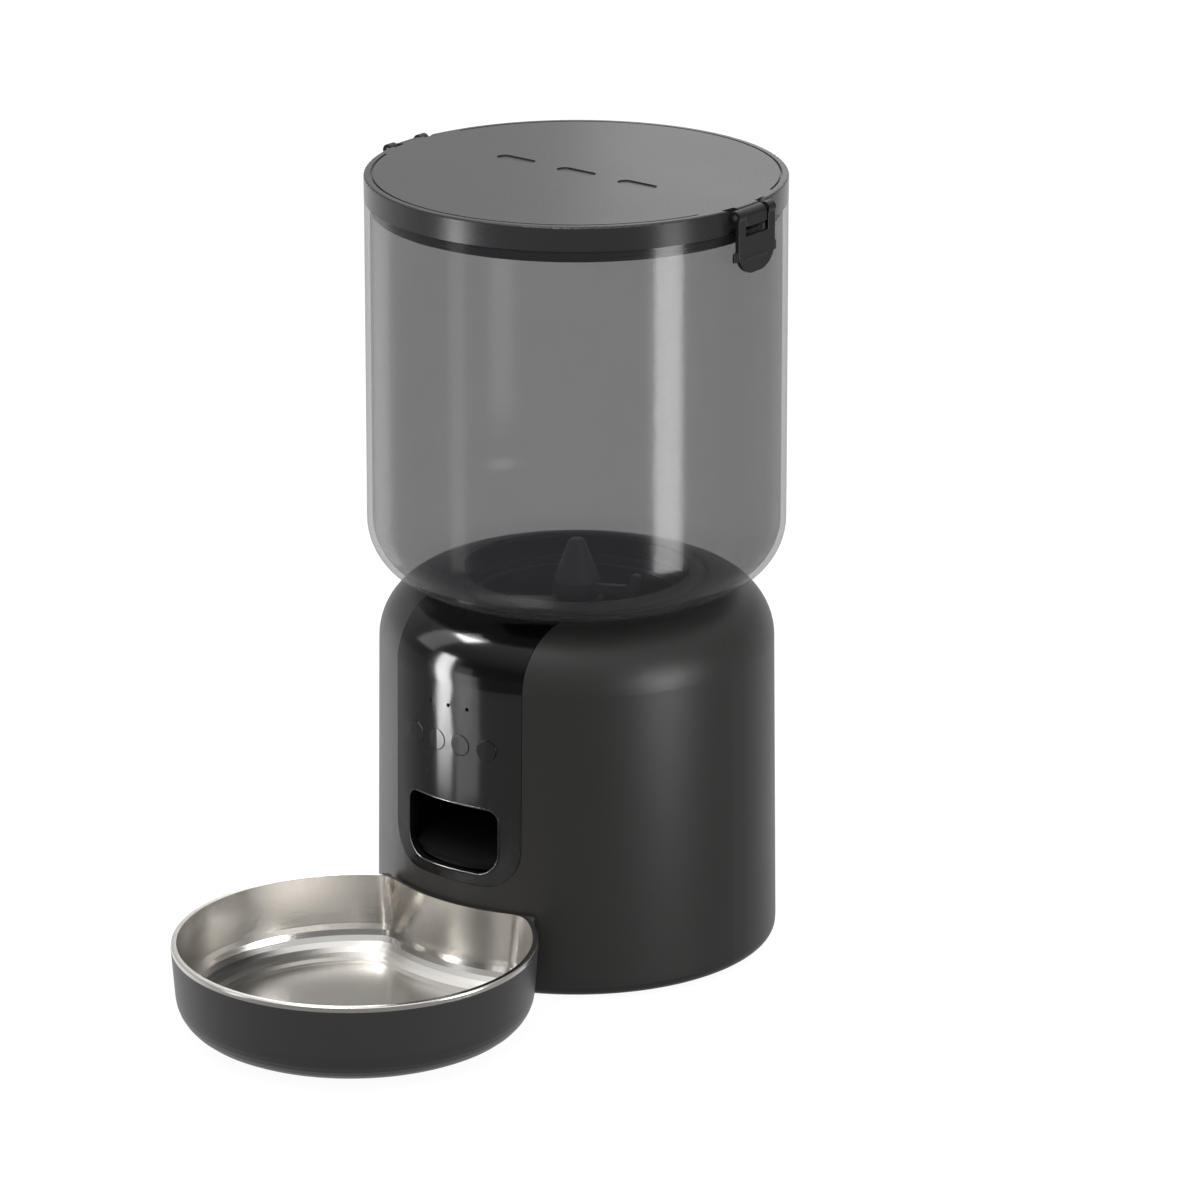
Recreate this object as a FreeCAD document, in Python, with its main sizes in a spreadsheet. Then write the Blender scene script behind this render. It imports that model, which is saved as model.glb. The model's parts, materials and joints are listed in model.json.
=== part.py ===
import FreeCAD, Part
import math
import os
import re
import Sketcher
from FreeCAD import Placement, Rotation, Vector

# Automatic pet feeder. Up is +Z, the outlet, the panel and the bowl face -Y,
# and the origin is where the base's axis meets the floor.

# Driving dimensions, in millimetres and degrees.
SIZES = {
    # base housing
    "base_radius": 89.3,
    "wall_draught": 2.0,
    "base_height": 167.0,
    "shoulder_round": 27.5,
    "shell_wall": 3.2,
    "neck_radius": 54.2,
    "ledge_width": 3.2,
    "ledge_depth": 9.0,
    "ledge_wall": 3.0,
    # bottom cover, feet and its screws
    "floor_gap": 1.2,
    "cover_wall": 3.0,
    "band_height": 8.0,
    "band_round": 5.0,
    "foot_radius": 8.0,
    "foot_depth": 0.8,
    "foot_inset": 15.3,
    "screw_inset": 8.9,
    "screw_radius": 1.5,
    "screw_head_radius": 2.8,
    "screw_length": 12.0,
    "boss_radius": 6.4,
    "boss_height": 24.0,
    "fit_gap": 0.3,
    "slip_gap": 0.15,
    "screw_fit": 0.2,
    "screw_sink": 1.8,
    "screw_head_tall": 1.6,
    "shank_rise": 0.6,
    "cover_inset": 0.1,
    # front panel
    "panel_half": 35.4,
    "panel_rise": 9.6,
    "panel_corner": 18.0,
    "panel_wall": 1.8,
    "panel_gap": 0.2,
    "panel_top_radius": 60.6,
    "front_reach": 30.0,
    # outlet window and duct
    "window_half": 26.2,
    "window_rise": 4.2,
    "window_tall": 32.1,
    "window_low_corner": 12.0,
    "window_high_corner": 6.0,
    "window_seat": 3.4,
    "window_seat_low": 1.8,
    "window_room": 6.0,
    "lip_wall": 1.0,
    "lip_proud": 0.2,
    "duct_half": 24.0,
    "duct_wall": 1.8,
    "duct_floor_wall": 2.34,
    "duct_front": 43.0,
    "duct_back": 21.2,
    "roof_drop": 16.0,
    "floor_drop": 20.0,
    "roof_rise": 1.5,
    "sensor_size": 7.0,
    "sensor_back": 19.8,
    # keys and pinholes
    "button_radius": 4.7,
    "button_pitch": 13.2,
    "button_drop": 54.4,
    "button_proud": 0.25,
    "button_flange": 1.2,
    "button_travel": 0.8,
    "stem_radius": 1.7,
    "stem_gap": 0.1,
    "pinhole_radius": 0.9,
    "pinhole_pitch": 10.2,
    "pinhole_drop": 37.4,
    "lens_radius": 2.6,
    # board behind the panel
    "board_depth": 13.8,
    "board_wall": 1.6,
    "board_half": 27.0,
    "board_low_drop": 67.0,
    "board_high_drop": 23.0,
    "chip_size": 14.0,
    "chip_thick": 1.4,
    "chip_left": 9.0,
    "chip_rise": 14.0,
    "radio_width": 16.0,
    "radio_tall": 18.0,
    "radio_thick": 2.6,
    "radio_left": 8.0,
    "radio_rise": 20.0,
    "camera_size": 9.0,
    "camera_depth": 5.0,
    "lens_set": 2.2,
    "lens_sunk": 1.8,
    "pipe_radius": 2.2,
    "pipe_length": 6.2,
    "tip_fit": 0.08,
    "tip_set": 2.3,
    "tip_sunk": 1.7,
    "capsule_radius": 3.0,
    "capsule_depth": 2.6,
    "boot_radius": 2.2,
    "boot_length": 6.0,
    "boot_sunk": 0.5,
    "post_radius": 2.4,
    "post_reach": 24.0,
    "post_margin": 4.0,
    "switch_size": 6.0,
    "switch_depth": 2.4,
    "plunger_depth": 0.7,
    # dosing chamber
    "tub_radius": 50.4,
    "tub_flange_wall": 1.6,
    "tub_depth": 38.0,
    "tub_floor": 2.0,
    "tub_seat": 3.0,
    "tub_round": 1.6,
    "tub_fit": 0.4,
    "tub_boss_wall": 5.0,
    "screw_hold": 1.5,
    "rotor_radius": 45.8,
    "rotor_gap": 0.8,
    "outlet_half": 19.0,
    "outlet_front": 42.0,
    "outlet_back": 22.0,
    "baffle_wall": 2.0,
    "baffle_angle": 104.0,
    "baffle_lip": 1.6,
    "eye_gap": 1.4,
    "crown_reach": 4.0,
    # rotor
    "shaft_radius": 3.0,
    "shaft_fit": 0.05,
    "boss_rise": 2.0,
    "hub_radius": 12.0,
    "hub_neck_radius": 7.5,
    "hub_gap": 0.4,
    "hub_drop": 4.0,
    "hub_cone_tall": 3.0,
    "shaft_rise": 26.0,
    "sleeve_wall": 2.0,
    "sleeve_rise": 0.6,
    "sleeve_drop": 1.0,
    "paddle_wall": 2.2,
    "paddle_count": 6,
    "blade_root": 0.6,
    "blade_flat": 12.0,
    "blade_gap": 0.8,
    "blade_rise": 1.5,
    "blade_low_round": 3.0,
    "blade_high_round": 5.0,
    "stirrer_reach": 34.0,
    "stirrer_wall": 3.2,
    "stirrer_count": 3,
    "stirrer_height": 25.0,
    "stirrer_gap": 2.0,
    "stirrer_tip_radius": 3.2,
    "stirrer_tip_round": 2.6,
    "skirt_reach": 3.0,
    "skirt_tall": 6.0,
    "skirt_round": 3.0,
    "arm_root": 4.0,
    "arm_low": 0.6,
    "arm_rise": 5.0,
    "arm_inner_rise": 9.0,
    "arm_tip_rise": 15.0,
    "arm_tip_half": 2.0,
    "arm_tip_round": 1.2,
    "arm_bend": 4.0,
    # gear motor
    "gear_module": 0.8,
    "output_teeth": 40,
    "pinion_teeth": 10,
    "wheel_module": 0.6,
    "wheel_teeth": 40,
    "motor_teeth": 10,
    "tooth_play": 0.16,
    "pressure_angle": 20.0,
    "tooth_root": 1.2,
    "tooth_tip": 0.95,
    "output_width": 5.5,
    "wheel_width": 4.0,
    "wheel_rise": 2.4,
    "wheel_step": 2.8,
    "collar_radius": 3.0,
    "pinion_over": 0.5,
    "case_height": 18.0,
    "case_wall": 1.6,
    "case_seat": 0.4,
    "case_arm": 4.0,
    "case_head_tall": 1.8,
    "case_screw_reach": 1.3,
    "gear_room": 0.7,
    "idler_pin_radius": 1.5,
    "idler_pin_low": 0.8,
    "motor_radius": 12.0,
    "motor_length": 36.0,
    "motor_step": 2.0,
    "motor_step_tall": 3.0,
    "motor_round": 1.0,
    "motor_seat_wall": 1.0,
    "motor_bore_gap": 1.5,
    "motor_shaft_radius": 1.0,
    "motor_shaft_low": 3.8,
    "motor_shaft_length": 11.5,
    "tab_out": 6.0,
    "tab_width": 2.0,
    "tab_wall": 0.6,
    "tab_length": 4.0,
    "tab_sunk": 2.0,
    "lug_radius": 3.6,
    "lug_front_out": 23.0,
    "lug_front_at": 6.0,
    "lug_rear_out": 16.5,
    "lug_rear_at": 37.0,
    # battery bay
    "cell_radius": 17.1,
    "cell_length": 61.5,
    "bay_wall": 1.6,
    "bay_ledge": 0.5,
    "cell_gap": 0.4,
    "contact_room": 1.5,
    "contact_size": 10.0,
    "contact_wall": 0.6,
    "coil_low_radius": 4.4,
    "coil_tip_radius": 2.4,
    "coil_length": 3.6,
    "rib_wall": 1.6,
    "rib_drop": 6.0,
    "step_room": 0.9,
    "door_pin_offset": 3.5,
    "bay_front": 30.0,
    "bay_height": 35.4,
    "door_wall": 2.4,
    "door_barrel_radius": 1.5,
    "door_pin_radius": 0.8,
    "door_room": 0.5,
    "pin_past": 2.0,
    "pin_end": 0.1,
    "grip_length": 18.0,
    "grip_front": 6.0,
    "grip_pitch": 3.0,
    "grip_width": 1.4,
    "grip_depth": 0.5,
    # electronics
    "main_half": 38.0,
    "main_depth": 32.0,
    "main_front": 2.0,
    "main_chip_size": 14.0,
    "main_chip_tall": 1.2,
    "main_chip_left": 24.0,
    "main_chip_at": 6.0,
    "driver_length": 9.0,
    "driver_width": 7.0,
    "driver_tall": 1.6,
    "driver_left": 2.0,
    "driver_at": 14.0,
    "plug_length": 12.0,
    "plug_width": 6.0,
    "plug_tall": 4.9,
    "plug_left": 20.0,
    "plug_front": 1.0,
    "cap_radius": 4.0,
    "cap_tall": 9.4,
    "cap_left": 26.0,
    "cap_at": 18.0,
    "small_cap_radius": 3.0,
    "small_cap_tall": 7.4,
    "small_cap_left": 32.0,
    "small_cap_at": 12.0,
    "standoff_rise": 3.0,
    "standoff_inset": 4.0,
    "standoff_front": 5.0,
    "standoff_back": 3.0,
    "jack_height": 22.2,
    "jack_width": 9.0,
    "jack_thick": 3.2,
    "jack_depth": 8.0,
    "jack_inset": 1.0,
    "jack_shell": 0.4,
    "tongue_thick": 0.7,
    "jack_board_half": 11.0,
    "jack_board_reach": 28.3,
    "jack_board_length": 20.0,
    "jack_post_out": 8.0,
    "inlet_half": 6.5,
    "inlet_tall": 7.0,
    "inlet_round_part": 2.1,
    "inlet_frame_half": 17.0,
    "inlet_frame_rise": 11.0,
    "inlet_block_depth": 20.0,
    "speaker_radius": 17.0,
    "speaker_inset": 33.3,
    "speaker_rim_tall": 2.0,
    "speaker_cone_rise": 6.0,
    "speaker_tall": 11.0,
    "magnet_radius": 9.35,
    "speaker_hole_circle": 7.65,
    "speaker_hole_radius": 1.2,
    # food tank
    "tank_gap": 1.4,
    "tank_radius": 92.1,
    "tank_draught": 0.4,
    "tank_round": 27.0,
    "tank_wall": 2.5,
    "tank_tall": 171.6,
    "tank_outlet_radius": 50.5,
    "spigot_radius": 53.6,
    "spigot_length": 6.4,
    "tank_foot_radius": 59.6,
    "tank_foot_width": 3.0,
    # lid
    "lid_overhang": 0.1,
    "lid_tall": 10.8,
    "lid_wall": 2.2,
    "lid_edge_round": 0.9,
    "plug_wall": 2.5,
    "plug_depth": 5.5,
    "plug_round": 0.6,
    "liner_wall": 2.0,
    "seal_wall": 1.1,
    "seal_height": 3.0,
    "seal_rise": 1.5,
    "seal_gap": 0.1,
    "seal_round": 0.7,
    "lid_line_inset": 3.9,
    "lid_line_width": 1.0,
    "lid_line_depth": 1.1,
    "line_gap_half": 26.0,
    "mark_length": 20.0,
    "mark_width": 7.0,
    "mark_pitch": 34.0,
    "mark_depth": 0.6,
    "mark_round_part": 2.05,
    # latches
    "latch_lean": 2.2,
    "latch_gap": 2.7,
    "latch_wall": 2.0,
    "latch_half": 13.2,
    "latch_drop": 17.7,
    "slot_drop": 0.9,
    "latch_round": 11.0,
    "knuckle_radius": 2.7,
    "knuckle_offset": -0.2,
    "knuckle_drop": 2.6,
    "lug_half": 7.6,
    "lug_rise": 3.0,
    "lug_fit": 0.06,
    "lug_round": 3.2,
    "lug_low_round": 0.8,
    "lug_setback": 0.3,
    "nub_reach": 2.0,
    "nub_rise": 6.4,
    "nub_tall": 4.2,
    "nub_thick": 1.2,
    "ridge_size": 1.0,
    "slot_gap": 0.5,
    "pin_short": 0.4,
    "latch_pin_radius": 1.1,
    "notch_half": 10.2,
    "notch_depth": 20.0,
    "catch_half": 7.0,
    "catch_wall": 1.2,
    "catch_drop": 2.6,
    "catch_rise": 1.0,
    "catch_slope": 1.4,
    "catch_top_drop": 0.5,
    # drying box under the lid
    "dry_radius": 30.0,
    "dry_depth": 28.8,
    "dry_wall": 1.6,
    "dry_flange": 3.6,
    "dry_slot_pitch": 9.0,
    "dry_slot_reach": 22.0,
    "dry_slot_count": 5,
    "dry_round": 2.0,
    "socket_length": 10.6,
    # bowl and tray
    "bowl_reach": 61.3,
    "tray_radius": 79.3,
    "tray_height": 37.7,
    "tray_floor": 2.0,
    "tray_wall": 1.3,
    "tray_round": 14.5,
    "tray_flare": 2.6,
    "bite_gap": 0.7,
    "bite_corner": 14.0,
    "rim_inset": 0.1,
    "rim_tall": 2.3,
    "rim_round": 0.9,
    "bowl_wall": 0.8,
    "ear_out": 41.4,
    "ear_standoff": 3.45,
    "ear_radius": 2.6,
    "ear_tall": 7.2,
    "hook_out": 38.0,
    "hook_half": 1.5,
    "hook_length": 7.9,
    "hook_fit": 0.5,
    "hook_low": 32.0,
    "hook_tall": 4.0,
    "hook_start": 1.5,
    "tray_foot_circle": 48.0,
    "tray_foot_radius": 6.0,
    # how deep fused pieces run into each other, and how far cutting tools reach past
    "sink": 1.0,
    "past": 5.0,
}

# Places and shared measures that follow from the sizes.
PLACES = {
    "base_neck_radius": "base_radius - wall_draught",
    "cover_top": "floor_gap + cover_wall",
    "foot_circle": "base_radius - foot_inset",
    "speaker_back": "base_radius - speaker_inset",
    "screw_circle": "base_radius - screw_inset",
    "ledge_top": "base_height - ledge_depth",
    "baffle_low": "ledge_top - tub_seat",
    "tub_floor_top": "ledge_top - tub_depth",
    "tub_under": "tub_floor_top - tub_floor",
    "tub_low_radius": "rotor_radius + rotor_gap",
    "tub_high_radius": "tub_radius - tub_floor",
    "case_low": "tub_under - case_wall - case_height",
    "idler_at": "(output_teeth + pinion_teeth) * gear_module / 2",
    "motor_at": "idler_at + (wheel_teeth + motor_teeth) * wheel_module / 2",
    "bay_half": "3 * cell_radius + cell_gap",
    "bay_back": "cell_length - bay_front + contact_room",
    "bay_top": "cover_top + bay_height",
    "door_pin_at": "bay_back + door_pin_offset",
    "rim_top": "tray_height + rim_tall",
    "panel_bottom": "rim_top + panel_rise",
    "window_bottom": "panel_bottom + window_rise",
    "window_top": "window_bottom + window_tall",
    "roof_bend": "tub_under - roof_drop",
    "floor_bend": "tub_under - floor_drop",
    "button_height": "base_height - button_drop",
    "pinhole_height": "base_height - pinhole_drop",
    "inlet_frame_top": "jack_height + inlet_frame_rise",
    "board_front": "base_radius - board_depth",
    "board_low": "base_height - board_low_drop",
    "board_high": "base_height - board_high_drop",
    "tank_base": "base_height + tank_gap",
    "tank_top": "tank_base + tank_tall",
    "tank_low_radius": "tank_radius + tank_draught",
    "lid_radius": "tank_radius + lid_overhang",
    "lid_top": "tank_top + lid_tall",
    "lid_line_radius": "lid_radius - lid_line_inset",
    "plug_radius": "tank_radius - tank_wall - fit_gap",
    "plug_low": "tank_top - plug_depth",
    "liner_top": "lid_top - lid_wall",
    "liner_under": "liner_top - liner_wall",
    "latch_inner": "tank_radius + latch_gap",
    "latch_outer": "latch_inner + latch_wall",
    "latch_low": "tank_top - latch_drop",
    "slot_low": "tank_top - slot_drop",
    "knuckle_out": "latch_inner + knuckle_offset",
    "knuckle_high": "lid_top - knuckle_drop",
    "lug_low": "tank_top + lug_rise",
    "catch_out": "latch_inner - fit_gap",
    "dry_low": "lid_top - dry_depth",
    "bowl_distance": "base_radius + bowl_reach",
    "bite_radius": "base_radius + bite_gap",
    "ear_back": "sqrt((base_radius + ear_standoff)^2 - ear_out^2)",
    "hub_low": "tub_floor_top + boss_rise + hub_gap",
    "hub_high": "baffle_low - hub_drop",
    "shaft_low": "case_low + hub_gap",
    "stirrer_low": "baffle_low + baffle_wall + stirrer_gap",
    "wheel_low": "tub_under - case_height + wheel_rise",
    "output_low": "wheel_low + wheel_width + wheel_step",
    "shaft_length": "case_height + case_wall + tub_floor + shaft_rise",
}

WORD = re.compile(r"[a-z][a-z_]*")

doc = FreeCAD.newDocument("PetFeeder")
sizes = doc.addObject("Spreadsheet::Sheet", "Sizes")
for row, (alias, number) in enumerate(SIZES.items(), 1):
    sizes.set("A%d" % row, alias)
    sizes.set("B%d" % row, str(number))
    sizes.setAlias("B%d" % row, alias)
doc.recompute()
places = doc.addObject("Spreadsheet::Sheet", "Places")
for row, (alias, formula) in enumerate(PLACES.items(), 1):
    places.set("A%d" % row, alias)
    places.setAlias("B%d" % row, alias)
for row, (alias, formula) in enumerate(PLACES.items(), 1):
    cell = WORD.sub(lambda word: "Sizes." + word.group() if word.group() in SIZES else word.group(), formula)
    places.set("B%d" % row, "=" + cell)
doc.recompute()

TOUCH = 1e-5
OVER = 0.01


def sheet_of(word):
    if word in SIZES:
        return "Sizes."
    return "Places." if word in PLACES else ""


def link(formula):
    """The formula with each alias written as a cell of its sheet."""
    return WORD.sub(lambda word: sheet_of(word.group()) + word.group(), formula)


def size(alias):
    return float(sizes.get(alias) if alias in SIZES else places.get(alias))


def bind(made, **formulas):
    """Bind properties to formulas; x, y and z are the place."""
    for name, formula in formulas.items():
        path = "Placement.Base." + name if name in ("x", "y", "z") else name
        made.setExpression(path, link(formula))
    return made


def draw(owner, role, corners, name):
    """A closed outline on an origin plane; two bound distances hold each corner."""
    sketch = owner.newObject("Sketcher::SketchObject", name)
    plane = next(part for part in owner.Origin.OriginFeatures if part.Role == role)
    sketch.AttachmentSupport = (plane, [""])
    sketch.MapMode = "FlatFace"
    count = len(corners)
    turns = [2 * math.pi * index / count for index in range(count)]
    spots = [Vector(math.cos(turn), math.sin(turn), 0) for turn in turns]
    for index in range(count):
        sketch.addGeometry(Part.LineSegment(spots[index], spots[(index + 1) % count]))
    for index in range(count):
        sketch.addConstraint(Sketcher.Constraint("Coincident", index, 2, (index + 1) % count, 1))
    for index, corner in enumerate(corners):
        for kind, formula in (("DistanceX", corner[0]), ("DistanceY", corner[1])):
            number = sketch.addConstraint(Sketcher.Constraint(kind, -1, 1, index, 1, 1.0))
            sketch.setExpression("Constraints[%d]" % number, link(formula))
    doc.recompute()
    return sketch


def edges_through(shape, points, wanted):
    found = []
    for number, edge in enumerate(shape.Edges, 1):
        if wanted(edge) and any(edge.distToShape(Part.Vertex(point))[0] < TOUCH for point in points):
            found.append("Edge%d" % number)
    return found


def round_corners(owner, feature, sketch, corners, wanted):
    """Fillet the edges that start from the outline's marked corners."""
    marked = {}
    for index, corner in enumerate(corners):
        if len(corner) > 2:
            spot = sketch.Placement.multVec(sketch.Geometry[index].StartPoint)
            marked.setdefault(corner[2], []).append(spot)
    for number, (formula, points) in enumerate(marked.items(), 1):
        fillet = owner.newObject("PartDesign::Fillet", "%sRound%d" % (owner.Name, number))
        fillet.Base = (feature, edges_through(feature.Shape, points, wanted))
        fillet.setExpression("Radius", link(formula))
        owner.Tip = fillet
        doc.recompute()
        feature = fillet
    return owner


def turned(name, corners):
    """A profile of (radius, height) turned about the axis; a third formula rounds that corner."""
    owner = doc.addObject("PartDesign::Body", name)
    sketch = draw(owner, "XZ_Plane", corners, name + "Profile")
    feature = owner.newObject("PartDesign::Revolution", name + "Turned")
    feature.Profile = sketch
    feature.ReferenceAxis = (sketch, ["V_Axis"])
    feature.Angle = 360
    owner.Tip = feature
    doc.recompute()
    return round_corners(owner, feature, sketch, corners,
                         lambda edge: edge.Curve.TypeId == "Part::GeomCircle")


def padded(name, role, corners, length, centred=False):
    """An outline padded square to its plane; a third formula rounds that corner's edge."""
    owner = doc.addObject("PartDesign::Body", name)
    sketch = draw(owner, role, corners, name + "Outline")
    feature = owner.newObject("PartDesign::Pad", name + "Pad")
    feature.Profile = sketch
    feature.setExpression("Length", link(length))
    feature.Midplane = centred
    owner.Tip = feature
    doc.recompute()
    normal = sketch.Placement.Rotation.multVec(Vector(0, 0, 1))

    def along(edge):
        if edge.Curve.TypeId != "Part::GeomLine":
            return False
        return abs(edge.tangentAt(edge.FirstParameter).dot(normal)) > 0.99

    return round_corners(owner, feature, sketch, corners, along)


def around(owner, count):
    """Repeat the body's last feature evenly about its upright axis."""
    pattern = owner.newObject("PartDesign::PolarPattern", owner.Name + "Around")
    pattern.Originals = [owner.Tip]
    pattern.Axis = (next(part for part in owner.Origin.OriginFeatures if part.Role == "Z_Axis"), [""])
    pattern.Angle = 360
    pattern.setExpression("Occurrences", link(count))
    owner.Tip = pattern
    doc.recompute()
    return owner


def box(name, x, y, z, length, width, height):
    made = doc.addObject("Part::Box", name)
    return bind(made, x=x, y=y, z=z, Length=length, Width=width, Height=height)


AXES = {
    "X": Rotation(Vector(0, 1, 0), 90),
    "Y": Rotation(Vector(1, 0, 0), -90),
    "Z": Rotation(),
}


def rod(name, radius, x, y, z, length, axis="Z"):
    """A cylinder from (x, y, z) along an axis."""
    made = doc.addObject("Part::Cylinder", name)
    made.Placement = Placement(Vector(), AXES[axis])
    return bind(made, x=x, y=y, z=z, Radius=radius, Height=length)


def fuse(name, *pieces):
    made = doc.addObject("Part::MultiFuse", name)
    made.Shapes = list(pieces)
    return made


def group(name, *pieces):
    made = doc.addObject("Part::Compound", name)
    made.Links = list(pieces)
    return made


def cut(name, base, *tools):
    made = doc.addObject("Part::Cut", name)
    made.Base = base
    made.Tool = tools[0] if len(tools) == 1 else fuse(name + "Tools", *tools)
    return made


def common(name, first, second):
    made = doc.addObject("Part::MultiCommon", name)
    made.Shapes = [first, second]
    return made


def lean(made, formula="latch_lean"):
    """Turn a piece about the upright axis."""
    made.Placement = Placement(Vector(), Rotation(Vector(0, 0, 1), size(formula)))
    made.setExpression("Placement.Rotation.Angle", link(formula))
    return made


def mirrored(name, source, normal=Vector(1, 0, 0)):
    made = doc.addObject("Part::Mirroring", name)
    made.Source = source
    made.Normal = normal
    return made


def plain(name, shape, place=None):
    made = doc.addObject("Part::Feature", name)
    made.Shape = shape
    made.Placement = Placement(place or Vector(), Rotation())
    return made


PARTS = {}


def keep(node, made):
    """Give a finished piece its node name."""
    made.Label = node
    PARTS[node] = made
    return made


def housing(name, inset):
    """The solid inside the base's outer face, moved in by an amount."""
    return turned(name, [
        ("0", "band_height"),
        ("base_radius - " + inset, "band_height"),
        ("base_neck_radius - " + inset, "base_height - " + inset, "shoulder_round - " + inset),
        ("0", "base_height - " + inset),
    ])


def panel_prism(name, grow):
    half = "(panel_half + %s)" % grow
    corner = "panel_corner + " + grow
    return padded(name, "XZ_Plane", [
        ("-" + half, "panel_bottom - " + grow, corner),
        (half, "panel_bottom - " + grow, corner),
        (half, "base_height + past"),
        ("-" + half, "base_height + past"),
    ], "base_radius + past")


def window_prism(name, shrink):
    half = "(window_half - %s)" % shrink
    low = "window_low_corner - " + shrink
    high = "window_high_corner - " + shrink
    return padded(name, "XZ_Plane", [
        ("-" + half, "window_bottom + " + shrink, low),
        (half, "window_bottom + " + shrink, low),
        (half, "window_top - " + shrink, high),
        ("-" + half, "window_top - " + shrink, high),
    ], "base_radius + past")


def button_place(index):
    return "(button_pitch * %s)" % (index - 1.5)


def front_rods(name, radius, where, height, count):
    """Rods along Y through the front wall, one at each place across."""
    return [
        rod("%s%d" % (name, index), radius, where(index), "-base_radius - past", height,
            "base_radius - front_reach", "Y")
        for index in range(count)
    ]


def pinhole_place(index):
    return "(pinhole_pitch * %d)" % (index - 1)


BUTTON_NAMES = ("button_left_outer", "button_left_inner", "button_right_inner", "button_right_outer")

# Tools that both the housing and the panel are cut with.
window_tool = window_prism("WindowTool", "0")
button_tools = front_rods("KeyHole", "button_radius + slip_gap", button_place, "button_height", 4)
pinhole_tools = front_rods("PinHole", "pinhole_radius", pinhole_place, "pinhole_height", 3)


def screw_place(index):
    turn = 45 + 90 * index
    return "screw_circle * cos(%d)" % turn, "screw_circle * sin(%d)" % turn


def inlet_block(name, grow):
    """The rear insert's block, from the cover's rim up."""
    return box(name, "-inlet_frame_half - " + grow, "base_radius - inlet_block_depth",
               "band_height - " + grow, "2 * (inlet_frame_half + %s)" % grow, "2 * inlet_block_depth",
               "inlet_frame_top - band_height + 2 * " + grow)


def base_shell():
    """Matt housing: draughted wall, round shoulder, neck with a ledge for the dosing chamber."""
    wall = turned("HousingWall", [
        ("base_radius", "band_height"),
        ("base_neck_radius", "base_height", "shoulder_round"),
        ("neck_radius", "base_height"),
        ("neck_radius", "ledge_top"),
        ("neck_radius - ledge_width", "ledge_top"),
        ("neck_radius - ledge_width", "ledge_top - ledge_wall"),
        ("neck_radius + shell_wall", "ledge_top - ledge_wall"),
        ("neck_radius + shell_wall", "base_height - shell_wall"),
        ("base_neck_radius - shell_wall", "base_height - shell_wall", "shoulder_round - shell_wall"),
        ("base_radius - shell_wall", "band_height"),
    ])
    inner = housing("HousingInner", "(panel_wall + panel_gap + fit_gap)")
    bosses = []
    for index in range(4):
        across, along = screw_place(index)
        bosses.append(rod("Boss%d" % index, "boss_radius", across, along, "cover_top", "boss_height"))
    low = "board_low + post_margin"
    high = "board_high - post_margin"
    for index, (side, height) in enumerate((("-", low), ("", low), ("-", high), ("", high))):
        bosses.append(rod("BoardPost%d" % index, "post_radius", side + "post_reach", "-base_radius",
                          height, "base_radius - board_front", "Y"))
    lugs = cut("BossesTrimmed", fuse("Bosses", *bosses), outside_of("HousingOutside", inner))
    shell = fuse("HousingFused", wall, lugs)
    recess = cut("PanelRecess", panel_prism("RecessPrism", "panel_gap"),
                 housing("RecessCore", "(panel_wall + panel_gap)"),
                 rod("RecessTop", "panel_top_radius - panel_gap", "0", "0", "0", "base_height + 2 * past"))
    lens_hole = rod("LensHole", "lens_radius + fit_gap", "0", "-base_radius - past", "pinhole_height",
                    "base_radius - front_reach", "Y")
    room = padded("WindowRoom", "XZ_Plane", [
        ("-panel_half + window_seat", "panel_bottom + window_seat_low"),
        ("panel_half - window_seat", "panel_bottom + window_seat_low"),
        ("panel_half - window_seat", "window_top + window_room"),
        ("-panel_half + window_seat", "window_top + window_room"),
    ], "base_radius + past")
    inlet = inlet_block("InletRoom", "slip_gap")
    slots = [
        box("HookSlot%d" % index, side + " - hook_half - hook_fit", "-base_radius - past",
            "hook_low - hook_fit", "2 * (hook_half + hook_fit)", "front_reach", "hook_tall + 2 * hook_fit")
        for index, side in enumerate(("-hook_out", "hook_out"))
    ]
    pilots = []
    for index in range(4):
        across, along = screw_place(index)
        pilots.append(rod("Pilot%d" % index, "screw_radius", across, along, "cover_top", "screw_length"))
    keep("base_shell", cut("BaseShell", shell, recess, room, lens_hole, inlet,
                           *button_tools, *pinhole_tools, *slots, *pilots))


def inlet_frame():
    """Insert around the power inlet, flush with the housing and seated on the cover's rim."""
    hole = padded("InletTool", "XZ_Plane", [
        ("-inlet_half", "jack_height - inlet_tall / 2", "inlet_tall / inlet_round_part"),
        ("inlet_half", "jack_height - inlet_tall / 2", "inlet_tall / inlet_round_part"),
        ("inlet_half", "jack_height + inlet_tall / 2", "inlet_tall / inlet_round_part"),
        ("-inlet_half", "jack_height + inlet_tall / 2", "inlet_tall / inlet_round_part"),
    ], "6 * past")
    bind(hole, y="base_radius + 2 * past")
    skin = common("InletSkin", inlet_block("InletBlock", "0"), housing("InletOuter", "0"))
    keep("inlet_frame", cut("InletFrame", skin, housing("InletCore", "shell_wall"), hole))


def outside_of(name, core):
    """Everything around a core, for trimming what would reach past it."""
    block = rod(name + "Block", "2 * base_radius", "0", "0", "-past", "base_height + 4 * past")
    return cut(name, block, core)


def front_panel():
    """Gloss curved panel from above the bowl up over the shoulder."""
    skin = common("PanelSkin", housing("PanelOuter", "0"), panel_prism("PanelPrism", "0"))
    keep("front_panel", cut("FrontPanel", skin, housing("PanelCore", "panel_wall"),
                            rod("PanelTop", "panel_top_radius", "0", "0", "0", "base_height + 2 * past"),
                            window_tool, *button_tools, *pinhole_tools))


def chute_lip():
    """Frame of the window, rounder at its two lower corners."""
    ring = cut("LipRing", window_prism("LipOuter", "slip_gap"), window_prism("LipInner", "lip_wall"))
    proud = common("LipProud", ring, housing("LipOutside", "-lip_proud"))
    keep("chute_lip", cut("ChuteLip", proud, housing("LipCore", "shell_wall")))


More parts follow.
